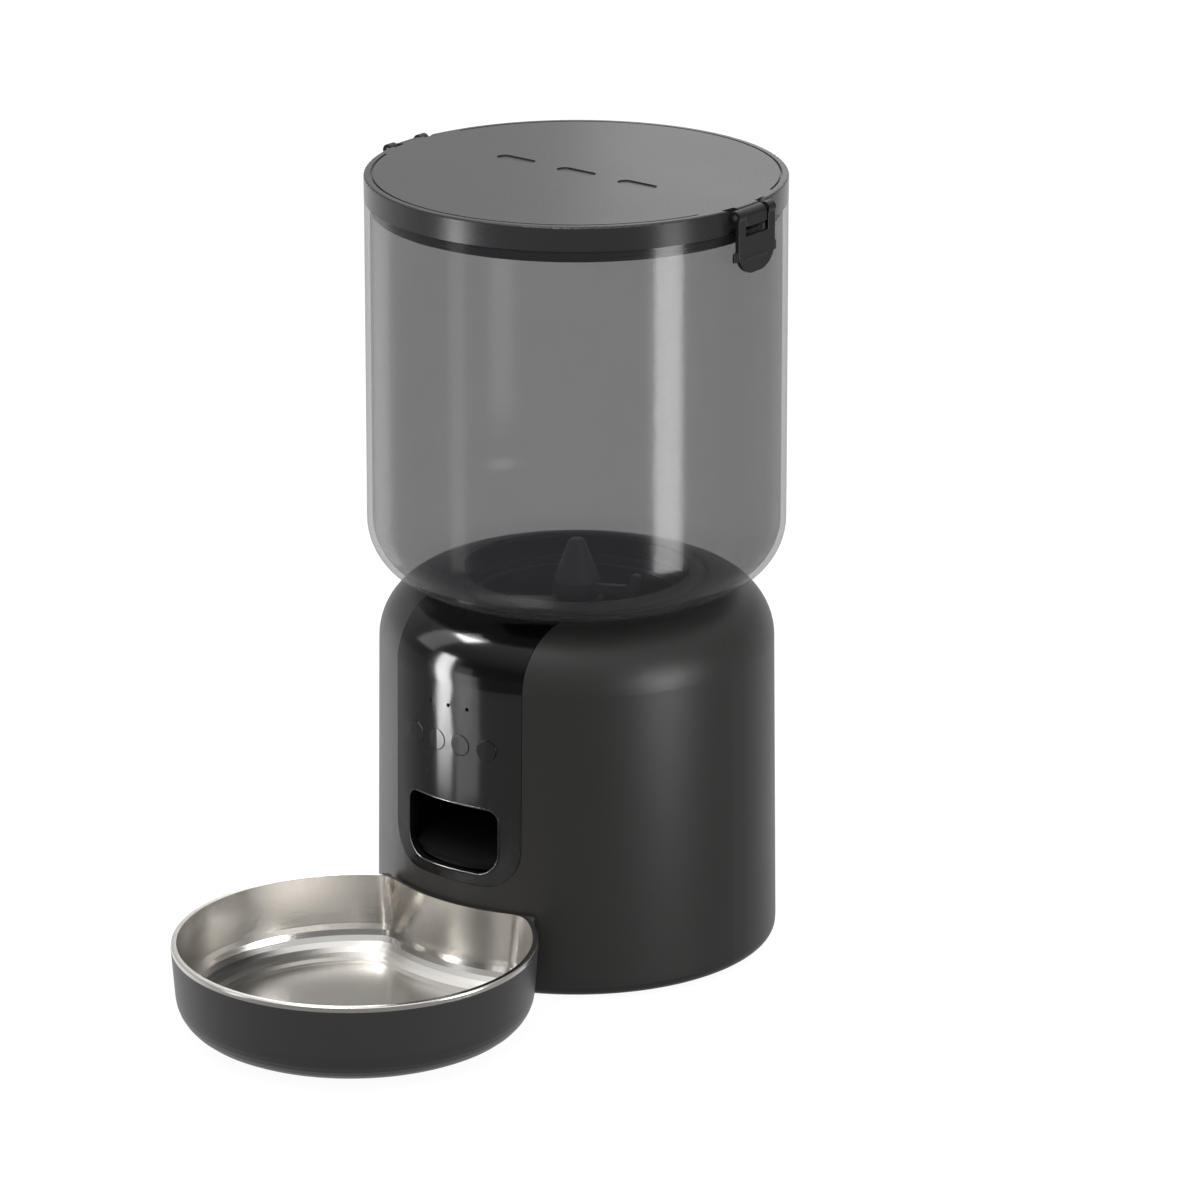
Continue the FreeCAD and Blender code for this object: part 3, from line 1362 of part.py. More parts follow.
def lid():
    """Lid cover with its skirt notched for the latches' arms, the liner with the plug, and the seal."""
    plate = turned("LidPlate", [
        ("0", "liner_top"),
        ("lid_radius - lid_wall", "liner_top"),
        ("lid_radius - lid_wall", "tank_top"),
        ("lid_radius", "tank_top"),
        ("lid_radius", "lid_top", "lid_edge_round"),
        ("0", "lid_top"),
    ])
    block = box("NotchBlock", "lid_radius - notch_depth", "-notch_half - lid_tall / 2",
                "tank_top - 2 * sink", "2 * notch_depth", "2 * notch_half + lid_tall",
                "lid_tall + 4 * sink")
    ends = [
        rod("NotchEnd%d" % index, "lid_tall / 2", "lid_radius - notch_depth - past",
            "%s(notch_half + lid_tall / 2)" % side, "tank_top + lid_tall / 2",
            "2 * (notch_depth + past)", "X")
        for index, side in enumerate(("-", ""))
    ]
    inner = rod("NotchInner", "lid_radius - lid_wall", "0", "0", "0", "lid_top + 2 * past")
    tab = box("NotchTab", "lid_radius - notch_depth - past", "-lug_half", "lug_low",
              "2 * (notch_depth + past)", "2 * lug_half", "lid_tall")
    notch = lean(cut("NotchRight", block, inner, tab, *ends))
    line = turned("LidLine", [
        ("lid_line_radius", "lid_top - lid_line_depth"),
        ("lid_line_radius + lid_line_width", "lid_top - lid_line_depth"),
        ("lid_line_radius + lid_line_width", "lid_top + sink"),
        ("lid_line_radius", "lid_top + sink"),
    ])
    gap = lean(box("LineGap", "0", "-line_gap_half", "lid_top - past", "lid_radius + past",
                   "2 * line_gap_half", "2 * past"))
    groove = cut("LidGroove", line, gap, opposite("LineGapLeft", gap))
    marks = []
    for index in (-1, 0, 1):
        near = "mark_pitch * %d - mark_length / 2" % index
        far = "mark_pitch * %d + mark_length / 2" % index
        mark = padded("Mark%d" % (index + 1), "XY_Plane", [
            (near, "-mark_width / 2", "mark_width / mark_round_part"),
            (far, "-mark_width / 2", "mark_width / mark_round_part"),
            (far, "mark_width / 2", "mark_width / mark_round_part"),
            (near, "mark_width / 2", "mark_width / mark_round_part"),
        ], "past")
        marks.append(bind(mark, z="lid_top - mark_depth"))
    keep("lid_cover", cut("LidCover", plate, notch, opposite("NotchLeft", notch), groove, *marks))
    keep("lid_liner", turned("LidLiner", [
        ("0", "liner_under"),
        ("dry_radius + fit_gap", "liner_under"),
        ("dry_radius + fit_gap", "liner_under - socket_length"),
        ("dry_radius + fit_gap + liner_wall", "liner_under - socket_length"),
        ("dry_radius + fit_gap + liner_wall", "liner_under"),
        ("plug_radius - plug_wall", "liner_under"),
        ("plug_radius - plug_wall", "plug_low"),
        ("plug_radius", "plug_low", "plug_round"),
        ("plug_radius", "plug_low + seal_rise"),
        ("plug_radius - seal_wall", "plug_low + seal_rise"),
        ("plug_radius - seal_wall", "plug_low + seal_rise + seal_height"),
        ("plug_radius", "plug_low + seal_rise + seal_height"),
        ("plug_radius", "liner_top"),
        ("0", "liner_top"),
    ]))
    keep("lid_seal", turned("LidSeal", [
        ("plug_radius - seal_wall", "plug_low + seal_rise + seal_gap"),
        ("plug_radius + slip_gap", "plug_low + seal_rise + seal_gap", "seal_round"),
        ("plug_radius + slip_gap", "plug_low + seal_rise + seal_height - seal_gap", "seal_round"),
        ("plug_radius - seal_wall", "plug_low + seal_rise + seal_height - seal_gap"),
    ]))


def pin_rod(name, radius, reach):
    """A rod on the right latch's hinge line, as far to both sides."""
    return rod(name, radius, "knuckle_out", "-" + reach, "knuckle_high", "2 * " + reach, "Y")


def latches():
    """Two hinged latches across from each other, the brackets that carry them and their pins."""
    lug = padded("BracketOutline", "XZ_Plane", [
        ("lid_radius + lug_fit", "lug_low"),
        ("latch_outer - lug_setback", "lug_low", "lug_low_round"),
        ("latch_outer - lug_setback", "lid_top - lid_edge_round / 2", "lug_round"),
        ("lid_radius + lug_fit", "lid_top - lid_edge_round / 2"),
    ], "2 * lug_half", True)
    bracket = lean(cut("BracketRight", lug, pin_rod("BracketHole", "latch_pin_radius", "(lug_half + sink)")))
    keep("latch_brackets", group("LatchBrackets", bracket, opposite("BracketLeft", bracket)))
    plate = padded("LatchPlate", "YZ_Plane", [
        ("-latch_half", "latch_low", "latch_round"),
        ("latch_half", "latch_low", "latch_round"),
        ("latch_half", "knuckle_high"),
        ("-latch_half", "knuckle_high"),
    ], "latch_wall")
    bind(plate, x="latch_inner")
    nub = box("LatchNub", "latch_inner", "-latch_half - nub_reach",
              "latch_low + nub_rise", "nub_thick", "2 * (latch_half + nub_reach)", "nub_tall")
    ridge = box("LatchRidge", "latch_outer - ridge_size / 2", "-catch_half", "latch_low + nub_rise",
                "ridge_size", "2 * catch_half", "ridge_size")
    window = box("LatchWindow", "latch_inner - past", "-lug_half - slot_gap", "slot_low", "3 * past",
                 "2 * (lug_half + slot_gap)", "6 * past")
    body = fuse("LatchFused", plate, pin_rod("LatchKnuckle", "knuckle_radius", "latch_half"), nub, ridge)
    right = lean(cut("LatchRight", body, window,
                     pin_rod("LatchBore", "(latch_pin_radius + shaft_fit)", "(latch_half + sink)")))
    keep("latch_right", right)
    keep("latch_left", opposite("LatchLeft", right))
    pin = lean(group("PinRight", pin_rod("LatchPin", "latch_pin_radius", "(latch_half - pin_short)")))
    keep("latch_pins", group("LatchPins", pin, opposite("PinLeft", pin)))


def desiccant_box():
    """Slotted cup that pulls down out of the liner's socket."""
    seat = "liner_under - socket_length - fit_gap"
    cup = turned("DryCup", [
        ("0", "dry_low"),
        ("dry_radius", "dry_low", "dry_round"),
        ("dry_radius", seat + " - dry_wall"),
        ("dry_radius + dry_flange", seat + " - dry_wall"),
        ("dry_radius + dry_flange", seat),
        ("dry_radius", seat),
        ("dry_radius", "liner_under - 2 * fit_gap"),
        ("dry_radius - dry_wall", "liner_under - 2 * fit_gap"),
        ("dry_radius - dry_wall", "dry_low + dry_wall"),
        ("0", "dry_low + dry_wall"),
    ])
    slots = []
    count = int(size("dry_slot_count"))
    for index in range(count):
        place = "dry_slot_pitch * %s" % (index - (count - 1) / 2)
        reach = "sqrt(dry_slot_reach^2 - (%s)^2)" % place
        slots.append(box("DrySlot%d" % index, "-" + reach, place + " - dry_wall", "dry_low - sink",
                         "2 * " + reach, "2 * dry_wall", "dry_wall + 2 * sink"))
    keep("desiccant_box", cut("DesiccantBox", cup, *slots))


def bite_outline(radius, bite, corner, height):
    """Round outline about the bowl's centre with a bite about the base's axis and round corners."""
    distance = size("bowl_distance")
    inner = radius - corner
    outer = bite + corner
    along = (outer ** 2 - inner ** 2 + distance ** 2) / (2 * distance)
    across = math.sqrt(outer ** 2 - along ** 2)
    centre = Vector(0, -distance, height)
    turn = Vector(across, -along, height)
    base = Vector(0, 0, height)
    on_bowl = centre + (turn - centre) * (radius / inner)
    on_bite = base + (turn - base) * (bite / outer)
    middle = (on_bowl - turn).normalize() + (on_bite - turn).normalize()
    on_corner = turn + middle.normalize() * corner

    def flip(point):
        return Vector(-point.x, point.y, point.z)

    front = centre + Vector(0, -radius, 0)
    notch = base + Vector(0, -bite, 0)
    edges = [
        Part.Arc(on_bowl, front, flip(on_bowl)),
        Part.Arc(flip(on_bowl), flip(on_corner), flip(on_bite)),
        Part.Arc(flip(on_bite), notch, on_bite),
        Part.Arc(on_bite, on_corner, on_bowl),
    ]
    return Part.Wire([edge.toShape() for edge in edges])


def cup_solid(radius, bite, corner, low, high, bend, flare, steps=8):
    """A cup lofted from its flat bottom, round the bend and up the flared wall."""
    wires = []
    for step in range(steps + 1):
        turn = math.pi / 2 * step / steps
        inset = bend * (1 - math.sin(turn))
        height = low + bend * (1 - math.cos(turn))
        part = (height - low) / (high - low)
        reach = radius - flare * (1 - part) - inset
        wires.append(bite_outline(reach, bite + inset, corner, height))
    wires.append(bite_outline(radius, bite, corner, high))
    return Part.makeLoft(wires, True, True)


def rim_solid(grow, rise, rounding):
    """The rolled rim of the bowl, grown sideways by a gap, with round upper edges."""
    inset = size("rim_inset") - grow
    wire = bite_outline(size("tray_radius") - inset, size("bite_radius") + inset,
                        size("bite_corner") - inset, size("tray_height"))
    rim = Part.Face(wire).extrude(Vector(0, 0, rise))
    if not rounding:
        return rim
    top = size("tray_height") + rise
    upper = [edge for edge in rim.Edges if edge.BoundBox.ZMin > top - TOUCH]
    return rim.makeFillet(rounding, upper)


def bowl_tray():
    """Dark tray with two ears whose pegs hook into the base."""
    low = size("tray_floor")
    high = size("tray_height")
    wall = size("tray_wall")
    outer = cup_solid(size("tray_radius"), size("bite_radius"), size("bite_corner"), low, high,
                      size("tray_round"), size("tray_flare"))
    inner = cup_solid(size("tray_radius") - wall, size("bite_radius") + wall, size("bite_corner") - wall,
                      low + wall, high + OVER, size("tray_round") - wall / 2, size("tray_flare"))
    shape = outer.cut(inner)
    hook = size("hook_out")
    half = size("hook_half")
    back = size("ear_back")
    ear_top = size("rim_top") - size("rim_round")
    clear = rim_solid(size("fit_gap"), size("rim_tall") + size("sink"), 0.0)
    for side in (-1, 1):
        ear = Part.makeCylinder(size("ear_radius"), size("ear_tall"),
                                Vector(side * size("ear_out"), -back, ear_top - size("ear_tall")))
        tail = Part.makeBox(2 * half, size("hook_length"), size("hook_tall"),
                            Vector(side * hook - half, -back - size("hook_start"), size("hook_low")))
        shape = shape.fuse([ear.cut([clear, inner]), tail.cut(inner)])
    keep("bowl_tray", plain("BowlTray", shape))
    feet = []
    circle = size("tray_foot_circle")
    for turn in (30, 150, 270):
        across = circle * math.cos(math.radians(turn))
        along = circle * math.sin(math.radians(turn)) - size("bowl_distance")
        feet.append(Part.makeCylinder(size("tray_foot_radius"), low, Vector(across, along, 0)))
    keep("tray_feet", plain("TrayFeet", Part.makeCompound(feet)))


def steel_bowl():
    """Thin steel bowl whose rolled rim rests on the tray."""
    wall = size("tray_wall") + size("fit_gap")
    low = size("tray_floor") + wall
    high = size("rim_top")
    thin = size("bowl_wall")
    radius = size("tray_radius") - wall
    bite = size("bite_radius") + wall
    corner = size("bite_corner") - wall
    bend = size("tray_round") - wall / 2
    flare = size("tray_flare")
    outer = cup_solid(radius, bite, corner, low, high - size("rim_round"), bend, flare)
    inner = cup_solid(radius - thin, bite + thin, corner - thin, low + thin, high + OVER, bend - thin / 2,
                      flare)
    rim = rim_solid(0.0, size("rim_tall"), size("rim_round"))
    keep("steel_bowl", plain("SteelBowl", outer.fuse(rim).cut(inner)))


def check_and_write():
    doc.recompute()
    failed = [made.Label for made in doc.Objects if {"Invalid", "Error"} & set(made.State)]
    if failed:
        raise RuntimeError("failed objects: " + ", ".join(failed))
    for node, made in PARTS.items():
        if made.Shape.isNull() or not made.Shape.isValid() or not made.Shape.Solids:
            raise RuntimeError("bad shape: " + node)
    os.makedirs("parts", exist_ok=True)
    for node, made in PARTS.items():
        made.Shape.exportStep("parts/%s.step" % node)
        print("%-20s %2d solid %9.1f mm3" % (node, len(made.Shape.Solids), made.Shape.Volume))


base_shell()
inlet_frame()
front_panel()
chute_lip()
chute()
buttons()
control_board()
bottom_cover()
battery_bay()
electronics()
rotor_tub()
outlet_baffle()
rotor()
gear_train()
gearbox()
hopper_tank()
lid()
latches()
desiccant_box()
bowl_tray()
steel_bowl()
check_and_write()
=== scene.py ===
# %% [markdown]
# This lesson dresses an automatic pet feeder. Its solids are already made, and arrive as a fixed
# frame: a smoked tank with a grey lid, a matt charcoal base with a gloss panel, and a steel bowl in
# a dark tray. Nothing in the frame is moved. Each solid gets a finish, and the few that need finer
# edges than a solid has are remade on top of their own shape.

# %% Load the frame
import json
import math

import bmesh
import bpy
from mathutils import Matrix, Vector
from mathutils.kdtree import KDTree


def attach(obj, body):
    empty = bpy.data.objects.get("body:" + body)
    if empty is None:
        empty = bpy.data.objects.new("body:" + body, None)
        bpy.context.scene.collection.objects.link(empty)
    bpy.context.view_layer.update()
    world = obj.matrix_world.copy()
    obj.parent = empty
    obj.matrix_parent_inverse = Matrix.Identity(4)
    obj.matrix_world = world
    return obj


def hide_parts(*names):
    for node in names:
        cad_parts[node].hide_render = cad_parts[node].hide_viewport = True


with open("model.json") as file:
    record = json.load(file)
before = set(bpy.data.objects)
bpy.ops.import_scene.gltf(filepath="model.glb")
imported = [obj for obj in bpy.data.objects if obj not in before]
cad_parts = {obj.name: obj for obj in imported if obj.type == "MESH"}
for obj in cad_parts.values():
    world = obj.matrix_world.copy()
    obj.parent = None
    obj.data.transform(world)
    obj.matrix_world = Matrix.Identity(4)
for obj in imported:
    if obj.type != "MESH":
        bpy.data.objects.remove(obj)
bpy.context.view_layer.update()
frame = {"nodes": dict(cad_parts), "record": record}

body_of_node = {
    node: body for body, nodes in frame["record"]["behaviour"]["bodies"].items() for node in nodes
}
slot_of_node = {part["node"]: part["material_slot"] for part in frame["record"]["subparts"]}

# %% [markdown]
# A finish is a small network of nodes. Writing one as arithmetic is easier to read than wiring it,
# so a Socket wraps an output and turns + - * into Math nodes, and a Finish makes every other node.

# %% Arithmetic on sockets
class Socket:
    """An output of a node, with arithmetic."""

    def __init__(self, finish, output):
        self.finish = finish
        self.output = output

    def maths(self, operation, first, second=0.0):
        made = self.finish.add("Math", {"operation": operation}, {0: first, 1: second})
        return Socket(self.finish, made.outputs[0])

    def __add__(self, other):
        return self.maths("ADD", self, other)

    def __sub__(self, other):
        return self.maths("SUBTRACT", self, other)

    def __mul__(self, other):
        return self.maths("MULTIPLY", self, other)

    def root(self):
        return self.maths("SQRT", self)

    __radd__ = __add__


# %% The node maker
class Network:
    """A tree of nodes, with one method that makes any of them."""

    def __init__(self, tree):
        self.tree = tree
        self.tree.nodes.clear()

    def feed(self, socket, value):
        if isinstance(value, Socket):
            self.tree.links.new(value.output, socket)
        elif isinstance(value, bpy.types.NodeSocket):
            self.tree.links.new(value, socket)
        elif socket.type == "RGBA" and len(value) == 3:
            socket.default_value = (*value, 1.0)
        else:
            socket.default_value = value

    def add(self, kind, settings, values):
        """Any node: its settings first, then the values or links of its sockets."""
        node = self.tree.nodes.new("ShaderNode" + kind)
        for word, value in settings.items():
            if word == "stops":
                ramp = node.color_ramp.elements
                ramp[0].position, ramp[0].color = value[0]
                ramp[1].position, ramp[1].color = value[-1]
                for spot, colour in value[1:-1]:
                    ramp.new(spot).color = colour
            else:
                setattr(node, word, value)
        for key, value in values.items():
            self.feed(node.inputs[key], value)
        return node


class Finish(Network):
    """A material with one Principled shader."""

    def __init__(self, name, **constants):
        self.material = bpy.data.materials.new(name)
        self.material.use_nodes = True
        super().__init__(self.material.node_tree)
        self.shader = self.add("BsdfPrincipled", {}, {})
        self.set(**constants)
        self.add("OutputMaterial", {}, {"Surface": self.shader.outputs[0]})
        self.place = Socket(self, self.add("TexCoord", {}, {}).outputs["Object"])

    def set(self, **values):
        """Constants or links on the shader, with _ for a space in a socket's name."""
        for word, value in values.items():
            self.feed(self.shader.inputs[word.replace("_", " ")], value)

    def noise(self, scale, detail=2.0):
        """Noise about 1 / scale metres across."""
        made = self.add("TexNoise", {}, {"Vector": self.place, "Scale": scale, "Detail": detail})
        return Socket(self, made.outputs["Fac"])

    def blend(self, amount, first, second):
        """A colour between two colours."""
        made = self.add("Mix", {"data_type": "RGBA", "clamp_factor": True},
                        {"Factor": amount, 6: first, 7: second})
        return Socket(self, made.outputs[2])

    def bump(self, height, depth, strength=1.0):
        """A normal that rises and falls by depth metres with a height from 0 to 1."""
        made = self.add("Bump", {}, {"Height": height, "Distance": depth, "Strength": strength})
        return Socket(self, made.outputs["Normal"])


def shade(colour, amount):
    return tuple(channel * amount for channel in colour)


def grey(level):
    return (level, level, level, 1.0)


print("node maker ready")

# %% [markdown]
# Most of the feeder is moulded plastic. Real mouldings carry a fine spark-eroded grain, and they
# are never quite one colour: handling and flow lines shift them a little. One function gives all of
# them, with grain size, depth and gloss as its numbers. Every scale here counts per metre.

# %% Moulded plastic
CLOUD_SCALE = 14.0
CLOUD_SHIFT = 0.10
CLOUD_DULLING = 0.10
GRAIN_DULLING = 0.08


def moulded(name, colour, roughness, grain=2600.0, depth=0.00004, specular=0.5, coat=0.0):
    """Moulded plastic: slow clouds of colour under a fine grain."""
    finish = Finish(name, Specular_IOR_Level=specular, Coat_Weight=coat, Coat_Roughness=0.08)
    clouds = finish.noise(CLOUD_SCALE, 3.0)
    speckle = finish.noise(grain, 2.0)
    finish.set(
        Base_Color=finish.blend(clouds * 0.7 + speckle * 0.3,
                                shade(colour, 1 - CLOUD_SHIFT), shade(colour, 1 + CLOUD_SHIFT)),
        Roughness=roughness + (clouds - 0.5) * CLOUD_DULLING + (speckle - 0.5) * GRAIN_DULLING,
        Normal=finish.bump(speckle, depth),
    )
    return finish.material


WAVE_SCALE = 60.0
WAVE_DEPTH = 0.00003
DUST_SCALE = 900.0
DUST_STOPS = [(0.62, (0, 0, 0, 1)), (0.78, (1, 1, 1, 1))]


def gloss(name, colour, roughness, specular):
    """Polished plastic: faint slow waves, and dust that dulls it in specks."""
    finish = Finish(name, Specular_IOR_Level=specular)
    waves = finish.noise(WAVE_SCALE, 1.0)
    dust = finish.noise(DUST_SCALE, 4.0)
    specks = finish.add("ValToRGB", {"stops": DUST_STOPS}, {"Fac": dust})
    amount = Socket(finish, specks.outputs["Color"])
    finish.set(
        Base_Color=finish.blend(amount, colour, shade(colour, 1.6)),
        Roughness=roughness + amount * 0.10,
        Normal=finish.bump(waves, WAVE_DEPTH, 0.6),
    )
    return finish.material


print("plastics ready")

# %% [markdown]
# Metals differ by how they were worked. The bowl is pressed and then polished while it spins, so
# its marks run in circles about its own middle. Plated parts are plain and slightly mottled.

# %% Metals
BOWL_MIDDLE = (0.0, -0.1506, 0.0)
MARK_SCALE = 1600.0
MARK_DEPTH = 0.000002


def spun_steel(name, colour, roughness):
    """Steel with fine rings about the bowl's middle."""
    finish = Finish(name, Metallic=1.0)
    centred = finish.add("Mapping", {"vector_type": "POINT"}, {
        "Vector": finish.place, "Location": tuple(-part for part in BOWL_MIDDLE)})
    parts = finish.add("SeparateXYZ", {}, {"Vector": centred.outputs[0]})
    across, along, up = (Socket(finish, parts.outputs[index]) for index in range(3))
    reach = (across * across + along * along).root()
    rings = finish.add("CombineXYZ", {}, {"X": reach, "Z": up})
    lines = finish.add("TexNoise", {}, {
        "Vector": rings.outputs[0], "Scale": MARK_SCALE, "Detail": 3.0})
    marks = Socket(finish, lines.outputs["Fac"])
    clouds = finish.noise(22.0, 3.0)
    finish.set(
        Base_Color=finish.blend(marks, shade(colour, 0.94), colour),
        Roughness=roughness + (marks - 0.5) * 0.12 + (clouds - 0.5) * 0.06,
        Normal=finish.bump(marks, MARK_DEPTH, 0.3),
    )
    return finish.material


def plated(name, colour, roughness=0.3, mottle=120.0):
    """Plated steel, slightly mottled."""
    finish = Finish(name, Metallic=1.0)
    clouds = finish.noise(mottle, 4.0)
    finish.set(
        Base_Color=finish.blend(clouds, shade(colour, 0.82), colour),
        Roughness=roughness + (clouds - 0.5) * 0.2,
        Normal=finish.bump(clouds, 0.00001, 0.5),
    )
    return finish.material


print("metals ready")

# %% [markdown]
# Rubber is dull and a little dusty. A circuit board is green lacquer over copper traces: thin bands
# of a second green stand for the traces.

# %% Rubber and boards
TRACE_GREENS = ((0.012, 0.075, 0.035), (0.030, 0.140, 0.060))


def rubber(name, colour, roughness=0.8):
    """Dull rubber with a little dust."""
    finish = Finish(name, Specular_IOR_Level=0.35)
    dust = finish.noise(260.0, 5.0)
    finish.set(
        Base_Color=finish.blend(dust, colour, shade(colour, 1.8)),
        Roughness=roughness + (dust - 0.5) * 0.15,
        Normal=finish.bump(dust, 0.00005),
    )
    return finish.material


def board(name):
    """Green lacquer over copper traces."""
    finish = Finish(name, Coat_Weight=0.3)
    waves = finish.add("TexWave", {"bands_direction": "X"}, {
        "Vector": finish.place, "Scale": 220.0, "Distortion": 6.0, "Detail": 1.0})
    traces = Socket(finish, waves.outputs["Fac"])
    clouds = finish.noise(300.0, 2.0)
    finish.set(
        Base_Color=finish.blend(traces, *TRACE_GREENS),
        Roughness=0.35 + clouds * 0.1,
        Normal=finish.bump(traces, 0.00003, 0.5),
    )
    return finish.material


print("rubber and boards ready")

# %% [markdown]
# The tank is clear plastic with a grey dye and a light haze. Light goes through four faces, so each
# one is only partly opaque. At a grazing angle the path through the wall is long and the face
# reflects more, so it is denser there: a Layer Weight gives that on any side.

# %% Smoked tank
LENS_SHADES = ((0.003, 0.003, 0.005), (0.008, 0.007, 0.012))


def smoked(name, colour, clear, edge, roughness):
    """Dyed clear plastic: clear is its opacity face on, edge its opacity at a slant."""
    finish = Finish(name, Specular_IOR_Level=0.5)
    finish.material.surface_render_method = "BLENDED"
    slant = Socket(finish, finish.add("LayerWeight", {}, {"Blend": 0.25}).outputs["Facing"])
    haze = finish.noise(30.0, 3.0)
    finish.set(
        Base_Color=finish.blend(haze, shade(colour, 0.94), shade(colour, 1.06)),
        Roughness=roughness + (haze - 0.5) * 0.015 + slant * slant * 0.35,
        Alpha=clear + slant * slant * (edge - clear) + (haze - 0.5) * 0.02,
    )
    return finish.material


def lens_glass(name):
    """Dark glass of a small lens."""
    finish = Finish(name, Specular_IOR_Level=0.25)
    depth = finish.noise(700.0, 1.0)
    finish.set(
        Base_Color=finish.blend(depth, *LENS_SHADES),
        Roughness=0.05 + depth * 0.04,
    )
    return finish.material


print("clear finishes ready")

# %% [markdown]
# Every slot of the record now gets its finish, and every solid takes the finish of its slot.

# %% Finishes by slot
PANEL_BLACK = (0.0048, 0.0048, 0.0051)
finishes = {
    "base_matt": moulded("charcoal plastic", (0.047, 0.0460, 0.0445), 0.42, specular=0.36),
    "panel_gloss": gloss("gloss black panel", PANEL_BLACK, 0.13, 0.26),
    "key_gloss": gloss("gloss black keys", PANEL_BLACK, 0.13, 0.26),
    "trim_black": gloss("gloss black trim", (0.010, 0.010, 0.011), 0.10, 0.5),
    "duct_black": moulded("satin black plastic", (0.003, 0.003, 0.0032), 0.50, grain=1800.0,
                          specular=0.15),
    "clear_lens": lens_glass("dark lens"),
    "board_green": board("green board"),
    "part_metal": plated("bright plating", (0.62, 0.61, 0.58)),
    "screw_steel": plated("zinc plating", (0.45, 0.45, 0.46), 0.38),
    "motor_steel": plated("motor can", (0.52, 0.52, 0.53), 0.34, 60.0),
    "gear_white": moulded("acetal", (0.72, 0.71, 0.67), 0.35, coat=0.1),
    "tub_grey": moulded("dark grey plastic", (0.055, 0.055, 0.058), 0.45),
    "rotor_grey": moulded("mid grey plastic", (0.110, 0.110, 0.115), 0.42),
    "soft_black": rubber("black silicone", (0.014, 0.014, 0.014), 0.6),
    "foot_rubber": rubber("foot rubber", (0.020, 0.020, 0.020)),
    "tank_smoke": smoked("smoked clear plastic", (0.068, 0.064, 0.072), 0.37, 0.72, 0.15),
    "lid_grey": moulded("grey satin plastic", (0.050, 0.050, 0.0515), 0.26, grain=2200.0,
                        depth=0.00002, specular=0.42),
    "liner_dark": moulded("liner plastic", (0.020, 0.020, 0.021), 0.45),
    "seal_grey": rubber("grey seal", (0.040, 0.040, 0.041), 0.6),
    "latch_black": moulded("satin black latch", (0.012, 0.012, 0.0125), 0.36, depth=0.00003),
    "tray_dark": moulded("satin dark tray", (0.070, 0.0695, 0.069), 0.40, depth=0.00003),
    "bowl_steel": spun_steel("spun steel", (0.72, 0.70, 0.67), 0.21),
    "dry_white": moulded("light grey plastic", (0.52, 0.52, 0.52), 0.45),
}
for node, solid in frame["nodes"].items():
    solid.data.materials.clear()
    solid.data.materials.append(finishes[slot_of_node[node]])
print("finished solids:", len(frame["nodes"]))

# %% [markdown]
# A solid can be too plain for a near look. Then a copy of its mesh is made: the triangles are
# merged, the copy is worked on, and it stands in for the solid. Its large faces keep their own
# direction, so that a flat face is still mirrored as flat.

# %% Copies that stand in
MERGED_WITHIN = 0.000001
SAME_POINT_WITHIN = 0.000002
CREASE = math.radians(50.0)

shown = dict(frame["nodes"])


def merged_copy(node):
    """A form of joined triangles from the loose triangles of a solid."""
    form = bmesh.new()
    form.from_mesh(frame["nodes"][node].data)
    bmesh.ops.remove_doubles(form, verts=form.verts, dist=MERGED_WITHIN)
    return form


def keep_directions(mesh, node):
    """Gives each corner of a copy its direction in the solid, or else its face's own."""
    source = frame["nodes"][node].data
    points = KDTree(len(source.vertices))
    corners = [[] for _ in source.vertices]
    for vertex in source.vertices:
        points.insert(vertex.co, vertex.index)
    points.balance()
    for loop in source.loops:
        corners[loop.vertex_index].append(source.corner_normals[loop.index].vector)
    directions = []
    for face in mesh.polygons:
        for vertex in face.vertices:
            near = points.find_range(mesh.vertices[vertex].co, SAME_POINT_WITHIN)
            known = [way for _, index, _ in near for way in corners[index]]
            directions.append(max(known, key=face.normal.dot) if known else face.normal)
    mesh.normals_split_custom_set(directions)


def stand_in(form, node, ending, carried=False):
    """Puts the piece made of a worked form in place of its solid."""
    mesh = bpy.data.meshes.new(node + ending)
    form.to_mesh(mesh)
    form.free()
    for face in mesh.polygons:
        face.use_smooth = True
    mesh.materials.append(finishes[slot_of_node[node]])
    piece = bpy.data.objects.new(node + ending, mesh)
    if carried:
        keep_directions(mesh, node)
    else:
        mesh.set_sharp_from_angle(angle=CREASE)
        flat_faces = piece.modifiers.new("large faces stay flat", "WEIGHTED_NORMAL")
        flat_faces.mode = "FACE_AREA"
        flat_faces.weight = 100
        flat_faces.keep_sharp = True
    bpy.context.scene.collection.objects.link(piece)
    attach(piece, body_of_node[node])
    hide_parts(node)
    shown[node] = piece


print("helpers for copies ready")

# %% [markdown]
# A moulding tool leaves no knife edge, and the small rounding of an edge is what catches the light:
# the thin rings round the keys, the bright lower edge of the window, the rim of the lid. The lid's
# rounding is clamped, because a free one throws points out past the lid.

# %% Eased edges
EASED = {
    "lid_cover": 0.25, "latch_right": 0.30, "latch_left": 0.30, "latch_brackets": 0.30,
    "button_left_outer": 0.30, "button_left_inner": 0.30, "button_right_inner": 0.30,
    "button_right_outer": 0.30, "chute_lip": 0.40,
}
FLAT_WITHIN = math.radians(2.0)
SHARP_BEYOND = math.radians(28.0)


def eased(node, width, clamped):
    """A copy of a solid with its sharp edges rounded by width millimetres stands in for it."""
    form = merged_copy(node)
    bmesh.ops.dissolve_limit(form, angle_limit=FLAT_WITHIN, verts=form.verts, edges=form.edges)
    sharp = [edge for edge in form.edges if edge.calc_face_angle(0.0) > SHARP_BEYOND]
    bmesh.ops.bevel(form, geom=sharp, offset=width / 1000.0, offset_type="OFFSET", segments=2,
                    profile=0.5, affect="EDGES", material=-1, clamp_overlap=clamped)
    stand_in(form, node, "_eased")


for node, width in EASED.items():
    eased(node, width, clamped=node == "lid_cover")
print("eased pieces:", {node: len(shown[node].data.polygons) for node in EASED})

